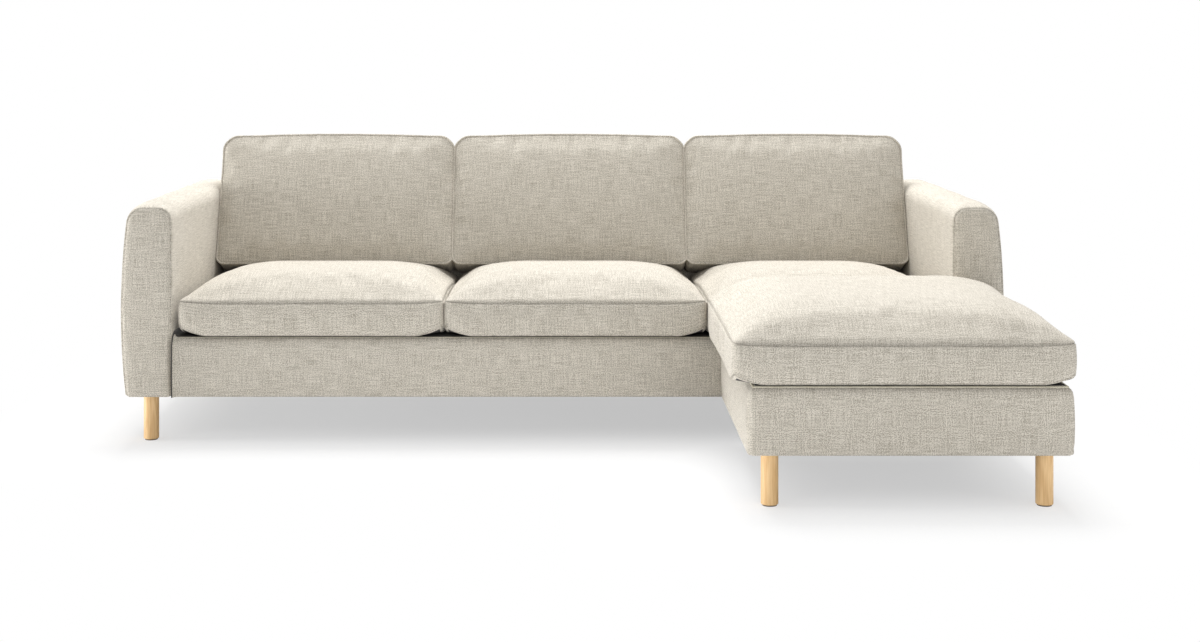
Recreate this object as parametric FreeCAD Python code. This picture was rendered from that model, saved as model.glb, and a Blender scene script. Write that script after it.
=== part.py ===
"""Sectional sofa with a chaise, upholstered in woven fabric on round wooden legs.

All sizes are millimetres.  +Z is up, +Y points to the back of the sofa and +X to the right of
someone who looks at its front.  The origin lies on the floor, under the middle of the whole plan.
The chaise stands in front of the right-hand seat.
"""

import FreeCAD, Part
import math
import os

V = FreeCAD.Vector

# Overall sizes
total_width = 2380.0        # outside of one arm to the outside of the other, at their widest
sofa_depth = 937.0          # front of the arms to the rear of the back
chaise_reach = 683.0        # how far the chaise cushion stands out in front of the arms
leg_height = 127.0          # floor to the underside of the upholstery
base_height = 161.0         # underside of the upholstery to the deck that the cushions lie on
arm_height = 645.0          # floor to the top of an arm
back_height = 632.0         # floor to the top of the fixed back
arm_width = 141.0           # thickness of an arm at its widest
back_lean = 19.5            # slope of the back from upright, in degrees

# Upholstery over the frame
fabric = 2.0                # covers of the arms, the base and the fixed back
front_padding = 12.0        # foam and fabric outside the rails of the base
base_setback = 2.0          # front of the arms to the front of the base between them
base_round = 17.0           # rounding of the base's top edge
deck_padding = 15.0         # foam and fabric on top of the rails
hem = 4.0                   # folded fabric and tack strip under a rail
hem_width = 15.0
arm_padding = 12.0          # foam and fabric on the front, rear and inner side of an arm
arm_crown = 30.0            # foam and fabric on top of the arm's frame
arm_foot_draw = 13.0        # how far the arm's outer side draws in at its foot
arm_belly = 235.0           # height of the arm's widest place above its foot
arm_round_outer = 48.0
arm_round_inner = 38.0
arm_round_foot = 8.0
arm_round_ends = 12.0
back_wadding = 4.0          # wadding behind the fixed back's rear fabric
back_crown = 8.0            # wadding and fabric on top of the fixed back
back_foam = 15.0            # foam sheet behind the fixed back's front fabric
back_round_front = 30.0
back_round_rear = 12.0
dust_cloth = 1.0            # nonwoven cloth under the frame
part_gap = 0.5              # between upholstered parts that are bolted together

# Timber
board = 25.0                # thickness of every rail, post and block
sill = 22.0                 # thickness of the flat boards of the back
panel = 3.0                 # hardboard on the sides of an arm's frame
post_depth = 45.0           # an arm's post, seen from the side
block_side = 70.0           # blocks that hold the legs of the chaise and the middle leg
upright_count = 4

# Legs and their fittings
leg_diameter = 41.0
leg_round = 2.5
glide_diameter = 34.0
glide_height = 3.0
arm_leg_inset = 68.0        # arm's front or rear face to the leg's axis
chaise_leg_inset = 57.0     # chaise's sides and front to the leg's axis
plate_side = 50.0
leg_bolt_depth = 36.0       # how far a leg bolt goes into its leg
bolt_diameter = 8.0
bolt_clearance = 0.2        # on the radius, round the shank of a bolt
thread_clearance = 0.05     # on the radius, between a thread and what it is screwed into
tee_flange_diameter = 18.0
tee_flange = 1.5
tee_barrel_diameter = 11.0
tee_barrel = 16.0
screw_diameter = 4.0
screw_length = 16.0
screw_head_diameter = 8.0
screw_edge = 8.0            # a screw's axis to the edge of its plate

# Bolts between the arms, the chaise and the seat frame
bolt_head_diameter = 14.0
bolt_head = 6.0
bolt_socket_diameter = 6.0
bolt_socket_depth = 4.0
insert_diameter = 12.0
insert_length = 20.0
bolt_height = 75.0          # frame bolts above the underside of the rails
bolt_edge = 9.0             # a bolt's axis to the inner edge of an arm's end post
chaise_bolt_count = 3
chaise_bolt_edge = 110.0    # chaise's side to its outermost bolts

# Springs and webbing
wire = 4.0
spring_loop = 17.0          # about the radius of a spring's bends
spring_straight = 26.0      # straight wire between two bends, across the spring
spring_spacing = 150.0      # about how far apart springs stand
clip_length = 18.0
clip_wall = 2.0
clip_fit = 0.15             # round the wire in its clip
spring_gap = 0.3            # between a spring and the pad that it carries
strap = 2.5
strap_width = 60.0
strap_count = 3

# Chaise base
chaise_width = 756.0
chaise_setback = 10.0       # front of the chaise cushion to the front of its base
chaise_side_draw = 7.0      # right side of the base inside the widest place of the arm

# Seat cushions; heights are above the deck
seat_split_left = -319.0    # between the left and the middle seat cushion
seat_split_right = 390.0    # between the middle seat cushion and the ones to its right
seat_depth = 694.0
seat_side_gap = 15.0        # arm to the seat cushion beside it
seat_low_seam = 28.0
seat_seam = 93.0
seat_top = 166.0
seat_crease = 588.0         # front of the cushion to the front edge of the back cushion
seat_crease_height = 125.0
shoulder = 158.0            # length of the rounded shoulders of the top
heel = 80.0                 # length of the rounded edges of the underside
seat_corner = 22.0
cross_crown = 4.0           # how much more the top and underside curve from side to side
chaise_low_seam = 24.0
chaise_seam = 96.0
chaise_top = 176.0
chaise_overlap = 5.0        # right side of the chaise cushion inside the widest place of the arm

# Back cushions
back_split_left = -333.0
back_split_right = 375.5
back_thickness = 153.0
back_edge = 141.0           # thickness at the seam round the front face
back_length = 408.0         # bottom to top, along the lean
back_side_gap = 3.0         # arm to the back cushion beside it
back_corner_top = 38.0
back_corner_low = 18.0

# Room between soft parts
cushion_gap = 1.0           # between two cushions
rest_gap = 0.4              # between a cushion and what it lies or leans on
cover_wall = 3.0            # cushion cover with its fibre wrap
core_gap = 0.5              # between the wrap and the foam

# Aids for drawing
tolerance = 1e-6
overshoot = 1.0             # how far a cutting shape runs past what it cuts
past_wall = 10.0            # how far a cushion's curves run past its upright sides before they are cut
round_share = 0.45          # the most of a cushion's width that one rounded edge may take

# Levels and planes that follow from the sizes
half_width = total_width / 2
inner_half = half_width - arm_width
total_depth = sofa_depth + chaise_reach
front_y = chaise_reach - total_depth / 2
rear_y = total_depth / 2
rail_bottom = leg_height + hem
block_top = rail_bottom + board
deck_z = leg_height + base_height
rail_top = deck_z - deck_padding
base_front = front_y + base_setback
rail_front = base_front + front_padding
base_end = inner_half - part_gap
side_rail_inner = base_end - board
chaise_right = half_width - chaise_side_draw
chaise_left = chaise_right - chaise_width
chaise_front = front_y - chaise_reach + chaise_setback
chaise_rear = front_y - part_gap
lean = math.radians(back_lean)
back_foot_y = front_y + seat_depth + cushion_gap
timber_inset = fabric + back_foam + strap
timber_rear = rear_y - fabric - back_wadding
sill_top = rail_top + sill
back_board_top = back_height - back_crown
back_board_bottom = back_board_top - sill
upright_end = base_end - fabric


def box(x0, x1, y0, y1, z0, z1):
    return Part.makeBox(x1 - x0, y1 - y0, z1 - z0, V(x0, y0, z0))


def rod(radius, start, end):
    """A straight cylinder from one point to another."""
    axis = V(*end) - V(*start)
    return Part.makeCylinder(radius, axis.Length, V(*start), axis)


def upright_rod(radius, x, y, z0, z1):
    return rod(radius, (x, y, z0), (x, y, z1))


def fused(shapes):
    solid = shapes[0]
    for shape in shapes[1:]:
        solid = solid.fuse(shape)
    return solid.removeSplitter()


def without(solid, cutters):
    """The solid less every cutter that comes near it."""
    for cutter in cutters:
        if cutter.BoundBox.intersect(solid.BoundBox):
            solid = solid.cut(cutter)
    return solid


def spread(first, last, count):
    """Evenly spaced places from the first to the last."""
    return [first + (last - first) * i / (count - 1) for i in range(count)]


def export(name, shapes):
    """Writes one file for a node; each closed solid in it is a piece of its own."""
    pieces = [solid for shape in shapes for solid in shape.Solids]
    for piece in pieces:
        if not piece.isValid() or piece.Volume <= 0:
            raise ValueError(name + " holds a solid that is not sound")
    Part.makeCompound(pieces).exportStep(os.path.join("parts", name + ".step"))


# Flat sections: a start and steps, where a step is [end] for a straight run
# and [point on the way, end] for an arc.
def section(place, start, steps):
    edges = []
    here = place(*start)
    for step in steps + [[start]]:
        goal = place(*step[-1])
        if here.distanceToPoint(goal) < tolerance:
            continue
        if len(step) == 2:
            edges.append(Part.Arc(here, place(*step[0]), goal).toShape())
        else:
            edges.append(Part.makeLine(here, goal))
        here = goal
    return Part.Face(Part.Wire(edges))


def side_view(x):
    """Places (y, z) on the plane at x."""
    return lambda y, z: V(x, y, z)


def front_view(y):
    """Places (x, z) on the plane at y."""
    return lambda x, z: V(x, y, z)


def plan_view(z):
    """Places (x, y) on the plane at z."""
    return lambda x, y: V(x, y, z)


def corner(centre, radius, degrees):
    """The point of a round corner that lies in one direction from its centre."""
    turn = math.radians(degrees)
    return (centre[0] + radius * math.cos(turn), centre[1] + radius * math.sin(turn))


def crown(seam, flat, past=0.0):
    """The arc that is level at one end, meets a seam and runs past it: a point half way, and the end."""
    run = flat[0] - seam[0]
    rise = flat[1] - seam[1]
    radius = (run ** 2 + rise ** 2) / (2 * abs(rise))
    whole_turn = math.asin((abs(run) + past) / radius)
    return [
        (
            flat[0] - math.copysign(radius * math.sin(turn), run),
            flat[1] - math.copysign(radius * (1 - math.cos(turn)), rise),
        )
        for turn in (whole_turn / 2, whole_turn)
    ]


# Legs
def leg_places():
    """The name of each leg and its axis (x, y)."""
    arm_x = half_width - arm_width / 2
    front = front_y + arm_leg_inset
    rear = rear_y - arm_leg_inset
    chaise_y = chaise_front + chaise_leg_inset
    return {
        "front_left_leg": (-arm_x, front),
        "rear_left_leg": (-arm_x, rear),
        "front_right_leg": (arm_x, front),
        "rear_right_leg": (arm_x, rear),
        "rear_middle_leg": (0.0, timber_rear - board - block_side / 2),
        "chaise_left_leg": (chaise_left + chaise_leg_inset, chaise_y),
        "chaise_right_leg": (chaise_right - chaise_leg_inset, chaise_y),
    }


def plate_screws(x, y):
    reach = plate_side / 2 - screw_edge
    return [(x + i * reach, y + j * reach) for i in (-1, 1) for j in (-1, 1)]


def leg_holes():
    """What the legs' fasteners cut out of the timber above them."""
    holes = []
    for x, y in leg_places().values():
        shank = upright_rod(bolt_diameter / 2 + bolt_clearance, x, y, leg_height, block_top)
        barrel = upright_rod(tee_barrel_diameter / 2 + thread_clearance, x, y, block_top - tee_barrel, block_top)
        holes.append(shank.fuse(barrel))
        for at in plate_screws(x, y):
            holes.append(upright_rod(
                screw_diameter / 2 + thread_clearance, *at, leg_height, leg_height + screw_length))
    return holes


def make_legs():
    for name, (x, y) in leg_places().items():
        leg = upright_rod(leg_diameter / 2, x, y, glide_height, leg_height)
        foot = [edge for edge in leg.Edges if edge.BoundBox.ZMax < glide_height + leg_round]
        leg = leg.makeFillet(leg_round, foot)
        bore = upright_rod(bolt_diameter / 2 + thread_clearance, x, y, leg_height - leg_bolt_depth, leg_height)
        export(name, [leg.cut(bore)])


def countersink(x, y, clearance):
    """The cone of a screw's head, flush with the underside of its plate."""
    wide = screw_head_diameter / 2 + clearance
    narrow = screw_diameter / 2 + clearance
    return Part.makeCone(wide, narrow, wide - narrow, V(x, y, leg_height))


def make_leg_fittings():
    glides = []
    plates = []
    bolts = []
    nuts = []
    screws = []
    half = plate_side / 2
    for x, y in leg_places().values():
        glides.append(upright_rod(glide_diameter / 2, x, y, 0, glide_height))
        plate = box(x - half, x + half, y - half, y + half, leg_height, rail_bottom)
        plate = plate.cut(upright_rod(bolt_diameter / 2 + bolt_clearance, x, y, leg_height, rail_bottom))
        for at in plate_screws(x, y):
            shank = upright_rod(screw_diameter / 2, *at, leg_height, leg_height + screw_length)
            screws.append(countersink(*at, 0).fuse(shank))
            plate = plate.cut(countersink(*at, thread_clearance))
            plate = plate.cut(upright_rod(
                screw_diameter / 2 + thread_clearance, *at, leg_height, rail_bottom))
        plates.append(plate)
        bolts.append(upright_rod(bolt_diameter / 2, x, y, leg_height - leg_bolt_depth, block_top))
        barrel = upright_rod(tee_barrel_diameter / 2, x, y, block_top - tee_barrel, block_top)
        flange = upright_rod(tee_flange_diameter / 2, x, y, block_top, block_top + tee_flange)
        thread = upright_rod(
            bolt_diameter / 2 + thread_clearance, x, y, block_top - tee_barrel, block_top + tee_flange)
        nuts.append(barrel.fuse(flange).cut(thread))
    export("leg_glides", glides)
    export("leg_plates", plates)
    export("leg_bolts", bolts)
    export("leg_tee_nuts", nuts)
    export("plate_screws", screws)


# Bolts between the arms, the chaise and the seat frame
def end_posts():
    """The middles of an arm's posts, front to rear."""
    first = front_y + arm_padding + post_depth / 2
    last = rear_y - arm_padding - post_depth / 2
    return spread(first, last, 3)


def frame_bolt_lines():
    """For each frame bolt: where its head sits, the way it points, and how much it clamps."""
    z = rail_bottom + bolt_height
    lines = []
    front, middle, rear = end_posts()
    reach = post_depth / 2 - bolt_edge
    arm_grip = board + part_gap + arm_padding + panel
    for side in (-1, 1):
        for y in (front + reach, middle, rear - reach):
            lines.append((V(side * side_rail_inner, y, z), V(side, 0, 0), arm_grip))
    chaise_grip = board + front_padding + part_gap + base_setback + front_padding
    head_y = chaise_rear - front_padding - board
    first = chaise_left + chaise_bolt_edge
    last = side_rail_inner - chaise_bolt_edge
    for x in spread(first, last, chaise_bolt_count):
        lines.append((V(x, head_y, z), V(0, 1, 0), chaise_grip))
    return lines


def along(line, first, last, diameter):
    """A cylinder on a bolt's axis, between two distances from under its head."""
    start, direction, _ = line
    return Part.makeCylinder(diameter / 2, last - first, start + direction * first, direction)


def frame_bolt_holes():
    """Clearance for each shank, then the hole that its insert is screwed into."""
    holes = []
    for line in frame_bolt_lines():
        grip = line[2]
        holes.append(along(line, 0, grip, bolt_diameter + 2 * bolt_clearance))
        holes.append(along(line, grip, grip + insert_length, insert_diameter + 2 * thread_clearance))
    return holes


def bolted(solid):
    return without(solid, frame_bolt_holes())


def make_frame_bolts():
    bolts = []
    inserts = []
    for line in frame_bolt_lines():
        grip = line[2]
        shank = along(line, 0, grip + insert_length, bolt_diameter)
        head = along(line, -bolt_head, 0, bolt_head_diameter)
        socket = along(line, -bolt_head, bolt_socket_depth - bolt_head, bolt_socket_diameter)
        bolts.append(shank.fuse(head).cut(socket))
        sleeve = along(line, grip, grip + insert_length, insert_diameter)
        thread = along(line, grip, grip + insert_length, bolt_diameter + 2 * thread_clearance)
        inserts.append(sleeve.cut(thread))
    export("frame_bolts", bolts)
    export("frame_inserts", inserts)


# The fixed back's leaning planes
def back_plane_y(z, inset=0.0):
    """Where the back's front face is at a height, or a plane that lies some way inside it."""
    return back_foot_y + (z - deck_z) * math.tan(lean) + inset / math.cos(lean)


sill_front = back_plane_y(sill_top, timber_inset)
back_board_front = back_plane_y(back_board_top, timber_inset)
spring_rail_front = sill_front - clip_length - rest_gap
front_clip_y = rail_front + board - clip_length / 2
rear_clip_y = spring_rail_front + clip_length / 2


# Seat frame
def make_seat_frame():
    """Rails of the base between the arms."""
    def rail(x0, x1, y0, y1):
        return box(x0, x1, y0, y1, rail_bottom, rail_top)

    inner = side_rail_inner
    export("front_rail", [bolted(rail(-inner, inner, rail_front, rail_front + board))])
    export("spring_rail", [rail(-inner, inner, spring_rail_front, spring_rail_front + board)])
    export("rear_rail", [rail(-inner, inner, timber_rear - board, timber_rear)])
    export("side_rails", [
        bolted(rail(-base_end, -inner, rail_front, timber_rear)),
        bolted(rail(inner, base_end, rail_front, timber_rear)),
    ])
    export("cross_rails", [
        rail(x - board / 2, x + board / 2, rail_front + board, spring_rail_front)
        for x in (seat_split_left, seat_split_right)
    ])


def make_leg_blocks():
    """Blocks in the chaise's front corners and at the middle of the rear rail."""
    inset = front_padding + board
    y0 = chaise_front + inset
    left = chaise_left + inset
    right = chaise_right - inset
    half = block_side / 2
    middle_y = timber_rear - board
    blocks = [
        box(left, left + block_side, y0, y0 + block_side, rail_bottom, block_top),
        box(right - block_side, right, y0, y0 + block_side, rail_bottom, block_top),
        box(-half, half, middle_y - block_side, middle_y, rail_bottom, block_top),
    ]
    export("leg_blocks", [without(block, leg_holes()) for block in blocks])


# Springs
def spring_lines():
    """For each spring: its x and the y of the clips at its two ends."""
    inset = front_padding + board
    half = board / 2
    seat_ends = (front_clip_y, rear_clip_y)
    chaise_ends = (chaise_front + inset - clip_length / 2, chaise_rear - inset + clip_length / 2)
    bays = [
        (-side_rail_inner, seat_split_left - half, *seat_ends),
        (seat_split_left + half, seat_split_right - half, *seat_ends),
        (seat_split_right + half, side_rail_inner, *seat_ends),
        (chaise_left + inset, chaise_right - inset, *chaise_ends),
    ]
    lines = []
    for x0, x1, y0, y1 in bays:
        count = max(1, round((x1 - x0) / spring_spacing))
        step = (x1 - x0) / count
        lines += [(x0 + step * (i + 0.5), y0, y1) for i in range(count)]
    return lines


def spring(x, y0, y1):
    """A wire that runs across in short straights, joined by half turns."""
    z = rail_top + wire / 2
    bends = max(1, round((y1 - y0) / (2 * spring_loop)))
    radius = (y1 - y0) / (2 * bends)
    half = spring_straight / 2
    side = 1
    y = y0
    path = []
    for _ in range(bends):
        path.append(Part.makeLine(V(x - side * half, y, z), V(x + side * half, y, z)))
        path.append(Part.Arc(
            V(x + side * half, y, z),
            V(x + side * (half + radius), y + radius, z),
            V(x + side * half, y + 2 * radius, z)).toShape())
        side = -side
        y += 2 * radius
    path.append(Part.makeLine(V(x - side * half, y, z), V(x + side * half, y, z)))
    ring = Part.Wire(Part.makeCircle(wire / 2, V(x - half, y0, z), V(1, 0, 0)))
    return Part.Wire(path).makePipeShell([ring], True, False)


def clip(x, y):
    """A steel strap, folded over the end of a spring, with a foot on each side."""
    half = clip_length / 2
    wide = spring_straight / 2 - clip_wall
    channel = wire / 2 + clip_fit
    inside_top = rail_top + wire + clip_fit
    feet = box(x - wide, x + wide, y - half, y + half, rail_top, rail_top + clip_wall)
    hump = box(
        x - wide, x + wide, y - channel - clip_wall, y + channel + clip_wall,
        rail_top, inside_top + clip_wall)
    return feet.fuse(hump).cut(box(
        x - wide, x + wide, y - channel, y + channel, rail_top, inside_top))


def clip_places():
    return [(x, y) for x, y0, y1 in spring_lines() for y in (y0, y1)]


def make_springs():
    export("zigzag_springs", [spring(*line) for line in spring_lines()])
    export("spring_clips", [clip(*place) for place in clip_places()])


def deck_pad(x0, x1, y0, y1):
    """A pad on the springs, with a pocket in its underside for each clip."""
    pad = box(x0, x1, y0, y1, rail_top + wire + spring_gap, deck_z - fabric)
    room = spring_straight / 2
    reach = wire / 2 + clip_wall + 2 * spring_gap
    top = rail_top + wire + clip_wall + 2 * spring_gap
    pockets = [box(x - room, x + room, y - reach, y + reach, rail_top, top) for x, y in clip_places()]
    return without(pad, pockets)


# Base between the arms
def make_base():
    """The padding of the front rail, the pad on the springs and the cover over both."""
    centre = (base_front + base_round, deck_z - base_round)
    inner_round = base_round - fabric
    pad_front = base_front + base_round
    padding = section(side_view(-base_end), (base_front + fabric, rail_bottom), [
        [(base_front + fabric, centre[1])],
        [corner(centre, inner_round, 135), (centre[0], deck_z - fabric)],
        [(pad_front, rail_top)],
        [(rail_front, rail_top)],
        [(rail_front, rail_bottom)],
    ])
    export("base_padding", [bolted(padding.extrude(V(2 * base_end, 0, 0)))])
    deck_rear = sill_front - rest_gap
    export("deck_pad", [deck_pad(-base_end, base_end, pad_front, deck_rear)])
    hem_y = rail_front + hem_width
    cover = section(side_view(-base_end), (base_front, leg_height), [
        [(base_front, centre[1])],
        [corner(centre, base_round, 135), (centre[0], deck_z)],
        [(deck_rear, deck_z)],
        [(deck_rear, deck_z - fabric)],
        [(centre[0], deck_z - fabric)],
        [corner(centre, inner_round, 135), (base_front + fabric, centre[1])],
        [(base_front + fabric, rail_bottom)],
        [(hem_y, rail_bottom)],
        [(hem_y, leg_height)],
    ])
    export("base_cover", [bolted(cover.extrude(V(2 * base_end, 0, 0)))])


# Fixed back
def back_outline(inset, foot_z):
    """Side view of the back's outer shape, drawn some way inside the fabric's outer face."""
    top = back_height - inset
    rear = rear_y - inset
    front_round = back_round_front - inset
    rear_round = back_round_rear - inset
    turn = (math.pi / 2 - lean) / 2
    tangent = front_round * math.tan(turn)
    crest_y = back_plane_y(top, inset)
    centre = (crest_y + tangent, top - front_round)
    rear_centre = (rear - rear_round, top - rear_round)
    touch = 180 - back_lean
    return section(side_view(0), (back_plane_y(deck_z, inset), deck_z), [
        [corner(centre, front_round, touch)],
        [corner(centre, front_round, (touch + 90) / 2), (centre[0], top)],
        [(rear_centre[0], top)],
        [corner(rear_centre, rear_round, 45), (rear, rear_centre[1])],
        [(rear, foot_z)],
        [(rear - front_padding, foot_z)],
        [(rear - front_padding, deck_z)],
    ])


def prism_x(face, x0, x1):
    """A section in side view, drawn at x = 0, extruded from one x to another."""
    solid = face.extrude(V(x1 - x0, 0, 0))
    solid.translate(V(x0, 0, 0))
    return solid


def make_back():
    """The frame, webbing, foam and cover of the fixed back."""
    posts = section(side_view(0), (back_plane_y(sill_top, timber_inset), sill_top), [
        [(back_plane_y(back_board_bottom, timber_inset), back_board_bottom)],
        [(timber_rear, back_board_bottom)],
        [(timber_rear, sill_top)],
    ])
    half = board / 2
    places = spread(-upright_end + half, upright_end - half, upright_count)
    export("back_posts", [prism_x(posts, x - half, x + half) for x in places])
    export("back_boards", [
        box(-upright_end, upright_end, sill_front, timber_rear, rail_top, sill_top),
        box(-upright_end, upright_end, back_board_front, timber_rear, back_board_bottom, back_board_top),
    ])

    straps = []
    gap = (back_board_bottom - sill_top) / (strap_count + 1)
    for i in range(strap_count):
        z0 = sill_top + gap * (i + 1) - strap_width * math.cos(lean) / 2
        z1 = z0 + strap_width * math.cos(lean)
        face = section(side_view(0), (back_plane_y(z0, fabric + back_foam), z0), [
            [(back_plane_y(z1, fabric + back_foam), z1)],
            [(back_plane_y(z1, timber_inset), z1)],
            [(back_plane_y(z0, timber_inset), z0)],
        ])
        straps.append(prism_x(face, -upright_end, upright_end))
    export("back_webbing", straps)

    outer = prism_x(back_outline(0, leg_height), -base_end, base_end)
    above = prism_x(back_outline(fabric, deck_z), -upright_end, upright_end)
    behind = box(-base_end, base_end, rear_y - front_padding, rear_y - fabric, rail_bottom, deck_z)
    hem_y = timber_rear - hem_width
    lip = box(-base_end, base_end, hem_y, rear_y - fabric, leg_height, rail_bottom)
    shell = outer.cut(above).cut(behind)
    shell = shell.cut(box(
        -upright_end, upright_end, back_plane_y(deck_z, fabric), rear_y - fabric,
        deck_z - front_padding, deck_z + front_padding))
    export("back_cover", [fused([shell, lip])])

    front = section(side_view(0), (back_plane_y(deck_z, fabric), deck_z), [
        [(back_plane_y(back_board_top, fabric), back_board_top)],
        [(back_plane_y(back_board_top, fabric + back_foam), back_board_top)],
        [(back_plane_y(deck_z, fabric + back_foam), deck_z)],
    ])
    end = upright_end
    top_front = back_plane_y(back_board_top, fabric)
    export("back_foam", [
        prism_x(front, -end, end).common(above),
        box(-end, end, top_front, timber_rear, back_board_top, back_height).common(above),
        box(-end, end, timber_rear, rear_y, deck_z, back_height).common(above),
        box(-base_end, base_end, timber_rear, rear_y - fabric, rail_bottom, deck_z),
    ])


# Arms
def arm_outline(inset):
    """Front view of the right arm: upright inside, one long curve outside, rounded on top."""
    long_radius = (arm_belly ** 2 + arm_foot_draw ** 2) / (2 * arm_foot_draw)
    belly = (half_width - long_radius, leg_height + arm_belly)

    def round_at(radius, z):
        """Centre of a round that touches the long curve, and the direction where it does."""
        y_reach = z - belly[1]
        x_reach = math.sqrt((long_radius - radius) ** 2 - y_reach ** 2)
        return (belly[0] + x_reach, z), math.degrees(math.atan2(y_reach, x_reach))

    head, head_angle = round_at(arm_round_outer, arm_height - arm_round_outer)
    foot, foot_angle = round_at(arm_round_foot, leg_height + arm_round_foot)
    inside = (inner_half + arm_round_inner, arm_height - arm_round_inner)
    head_radius = arm_round_outer - inset
    foot_radius = arm_round_foot - inset
    top = arm_height - inset
    return section(front_view(0), (inner_half + inset, leg_height + inset), [
        [(inner_half + inset, inside[1])],
        [corner(inside, arm_round_inner - inset, 135), (inside[0], top)],
        [(head[0], top)],
        [corner(head, head_radius, (90 + head_angle) / 2), corner(head, head_radius, head_angle)],
        [
            corner(belly, long_radius - inset, (head_angle + foot_angle) / 2),
            corner(foot, foot_radius, foot_angle)],
        [corner(foot, foot_radius, (foot_angle - 90) / 2), (foot[0], foot[1] - foot_radius)],
    ])


def arm_solid(inset):
    """The right arm's outer shape, some way inside the fabric's outer face."""
    y0 = front_y + inset
    y1 = rear_y - inset
    solid = arm_outline(inset).extrude(V(0, y1 - y0, 0))
    solid.translate(V(0, y0, 0))
    foot_top = leg_height + arm_round_foot + overshoot
    ends = [
        edge for edge in solid.Edges
        if edge.BoundBox.YLength < tolerance and edge.BoundBox.ZMax > foot_top
    ]
    return solid.makeFillet(arm_round_ends - inset, ends)


def mirrored(solid):
    return solid.mirror(V(0, 0, 0), V(1, 0, 0))


def make_arms():
    """Frame, hardboard, padding and cover of both arms."""
    x0 = inner_half + arm_padding
    x1 = half_width - arm_foot_draw - arm_padding
    y0 = front_y + arm_padding
    y1 = rear_y - arm_padding
    frame_top = arm_height - arm_crown
    wood0 = x0 + panel
    wood1 = x1 - panel
    frame_box = box(x0, x1, y0, y1, rail_bottom, frame_top)

    posts = [
        box(wood0, wood1, y - post_depth / 2, y + post_depth / 2, block_top, frame_top - board)
        for y in end_posts()
    ]
    rails = [
        without(box(wood0, wood1, y0, y1, rail_bottom, block_top), leg_holes()),
        box(wood0, wood1, y0, y1, frame_top - board, frame_top),
    ]
    panels = [
        box(x0, wood0, y0, y1, rail_bottom, frame_top),
        box(wood1, x1, y0, y1, rail_bottom, frame_top),
    ]
    posts = [bolted(post) for post in posts]
    panels = [bolted(sheet) for sheet in panels]
    export("arm_posts", posts + [mirrored(post) for post in posts])
    export("arm_rails", rails + [mirrored(rail) for rail in rails])
    export("arm_panels", panels + [mirrored(sheet) for sheet in panels])

    under = box(inner_half, half_width, front_y, rear_y, leg_height, rail_bottom)
    cavity = arm_solid(fabric).cut(under)
    padding = bolted(cavity.cut(frame_box))
    opening = box(
        x0 + hem_width, x1 - hem_width, y0 + hem_width, y1 - hem_width, leg_height, rail_bottom)
    cover = bolted(arm_solid(0).cut(cavity).cut(opening))
    export("right_arm_padding", [padding])
    export("left_arm_padding", [mirrored(padding)])
    export("right_arm_cover", [cover])
    export("left_arm_cover", [mirrored(cover)])


# Chaise base
def chaise_block(inset, foot_z):
    """The base's outer shape, some way inside the fabric, with its top edges rounded."""
    x0 = chaise_left + inset
    x1 = chaise_right - inset
    y0 = chaise_front + inset
    y1 = chaise_rear - inset
    block = box(x0, x1, y0, y1, foot_z, deck_z - inset)
    soft = []
    for edge in block.Edges:
        bounds = edge.BoundBox
        on_top = bounds.ZMin > deck_z - inset - tolerance
        front_corner = bounds.YMax < y0 + tolerance and bounds.ZLength > overshoot
        if on_top or front_corner:
            soft.append(edge)
    return block.makeFillet(base_round - inset, soft)


def make_chaise():
    """Frame, padding, pad and cover of the chaise."""
    inset = front_padding
    x0 = chaise_left + inset
    x1 = chaise_right - inset
    y0 = chaise_front + inset
    y1 = chaise_rear - inset
    export("chaise_end_rails", [
        box(x0, x1, y0, y0 + board, rail_bottom, rail_top),
        bolted(box(x0, x1, y1 - board, y1, rail_bottom, rail_top)),
    ])
    export("chaise_side_rails", [
        box(x0, x0 + board, y0 + board, y1 - board, rail_bottom, rail_top),
        box(x1 - board, x1, y0 + board, y1 - board, rail_bottom, rail_top),
    ])
    cavity = chaise_block(fabric, rail_bottom)
    frame_room = box(x0, x1, y0, y1, rail_bottom, deck_z)
    export("chaise_padding", [bolted(cavity.cut(frame_room))])
    export("chaise_deck_pad", [deck_pad(x0, x1, y0, y1).common(cavity)])
    opening = box(
        x0 + hem_width, x1 - hem_width, y0 + hem_width, y1 - hem_width, leg_height, rail_bottom)
    export("chaise_cover", [bolted(chaise_block(0, leg_height).cut(cavity).cut(opening))])


def make_dust_cloths():
    """Cloth under each frame, inside its hems and cut out round the legs' plates."""
    half = plate_side / 2
    slots = [
        box(x - half, x + half, y - half, y + half, leg_height, rail_bottom)
        for x, y in leg_places().values()
    ]

    def cloth(x0, x1, y0, y1):
        return without(box(x0, x1, y0, y1, rail_bottom - dust_cloth, rail_bottom), slots)

    inset = front_padding + hem_width
    arm_inset = arm_padding + hem_width
    arm_cloth = cloth(
        inner_half + arm_inset, half_width - arm_foot_draw - arm_inset,
        front_y + arm_inset, rear_y - arm_inset)
    export("seat_dust_cloth", [cloth(
        -base_end, base_end, rail_front + hem_width, timber_rear - hem_width)])
    export("arm_dust_cloths", [arm_cloth, mirrored(arm_cloth)])
    export("chaise_dust_cloth", [cloth(
        chaise_left + inset, chaise_right - inset, chaise_front + inset, chaise_rear - inset)])


# Cushions
def common_of(sections, inset):
    """The solid that all the sections bound; each is (face, way to extrude it)."""
    solids = [face.makeOffset2D(-inset) if inset else face for face, _ in sections]
    solids = [face.extrude(way) for face, (_, way) in zip(solids, sections)]
    return solids[0].common(solids[1]).common(solids[2])


def export_cushion(name, sections, move=None):
    """A hollow cover and the foam inside it."""
    cover = common_of(sections, 0).cut(common_of(sections, cover_wall))
    core = common_of(sections, cover_wall + core_gap)
    for suffix, solid in (("_cover", cover), ("_core", core)):
        if move:
            solid.transformShape(move)
        export(name + suffix, [solid])


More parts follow.
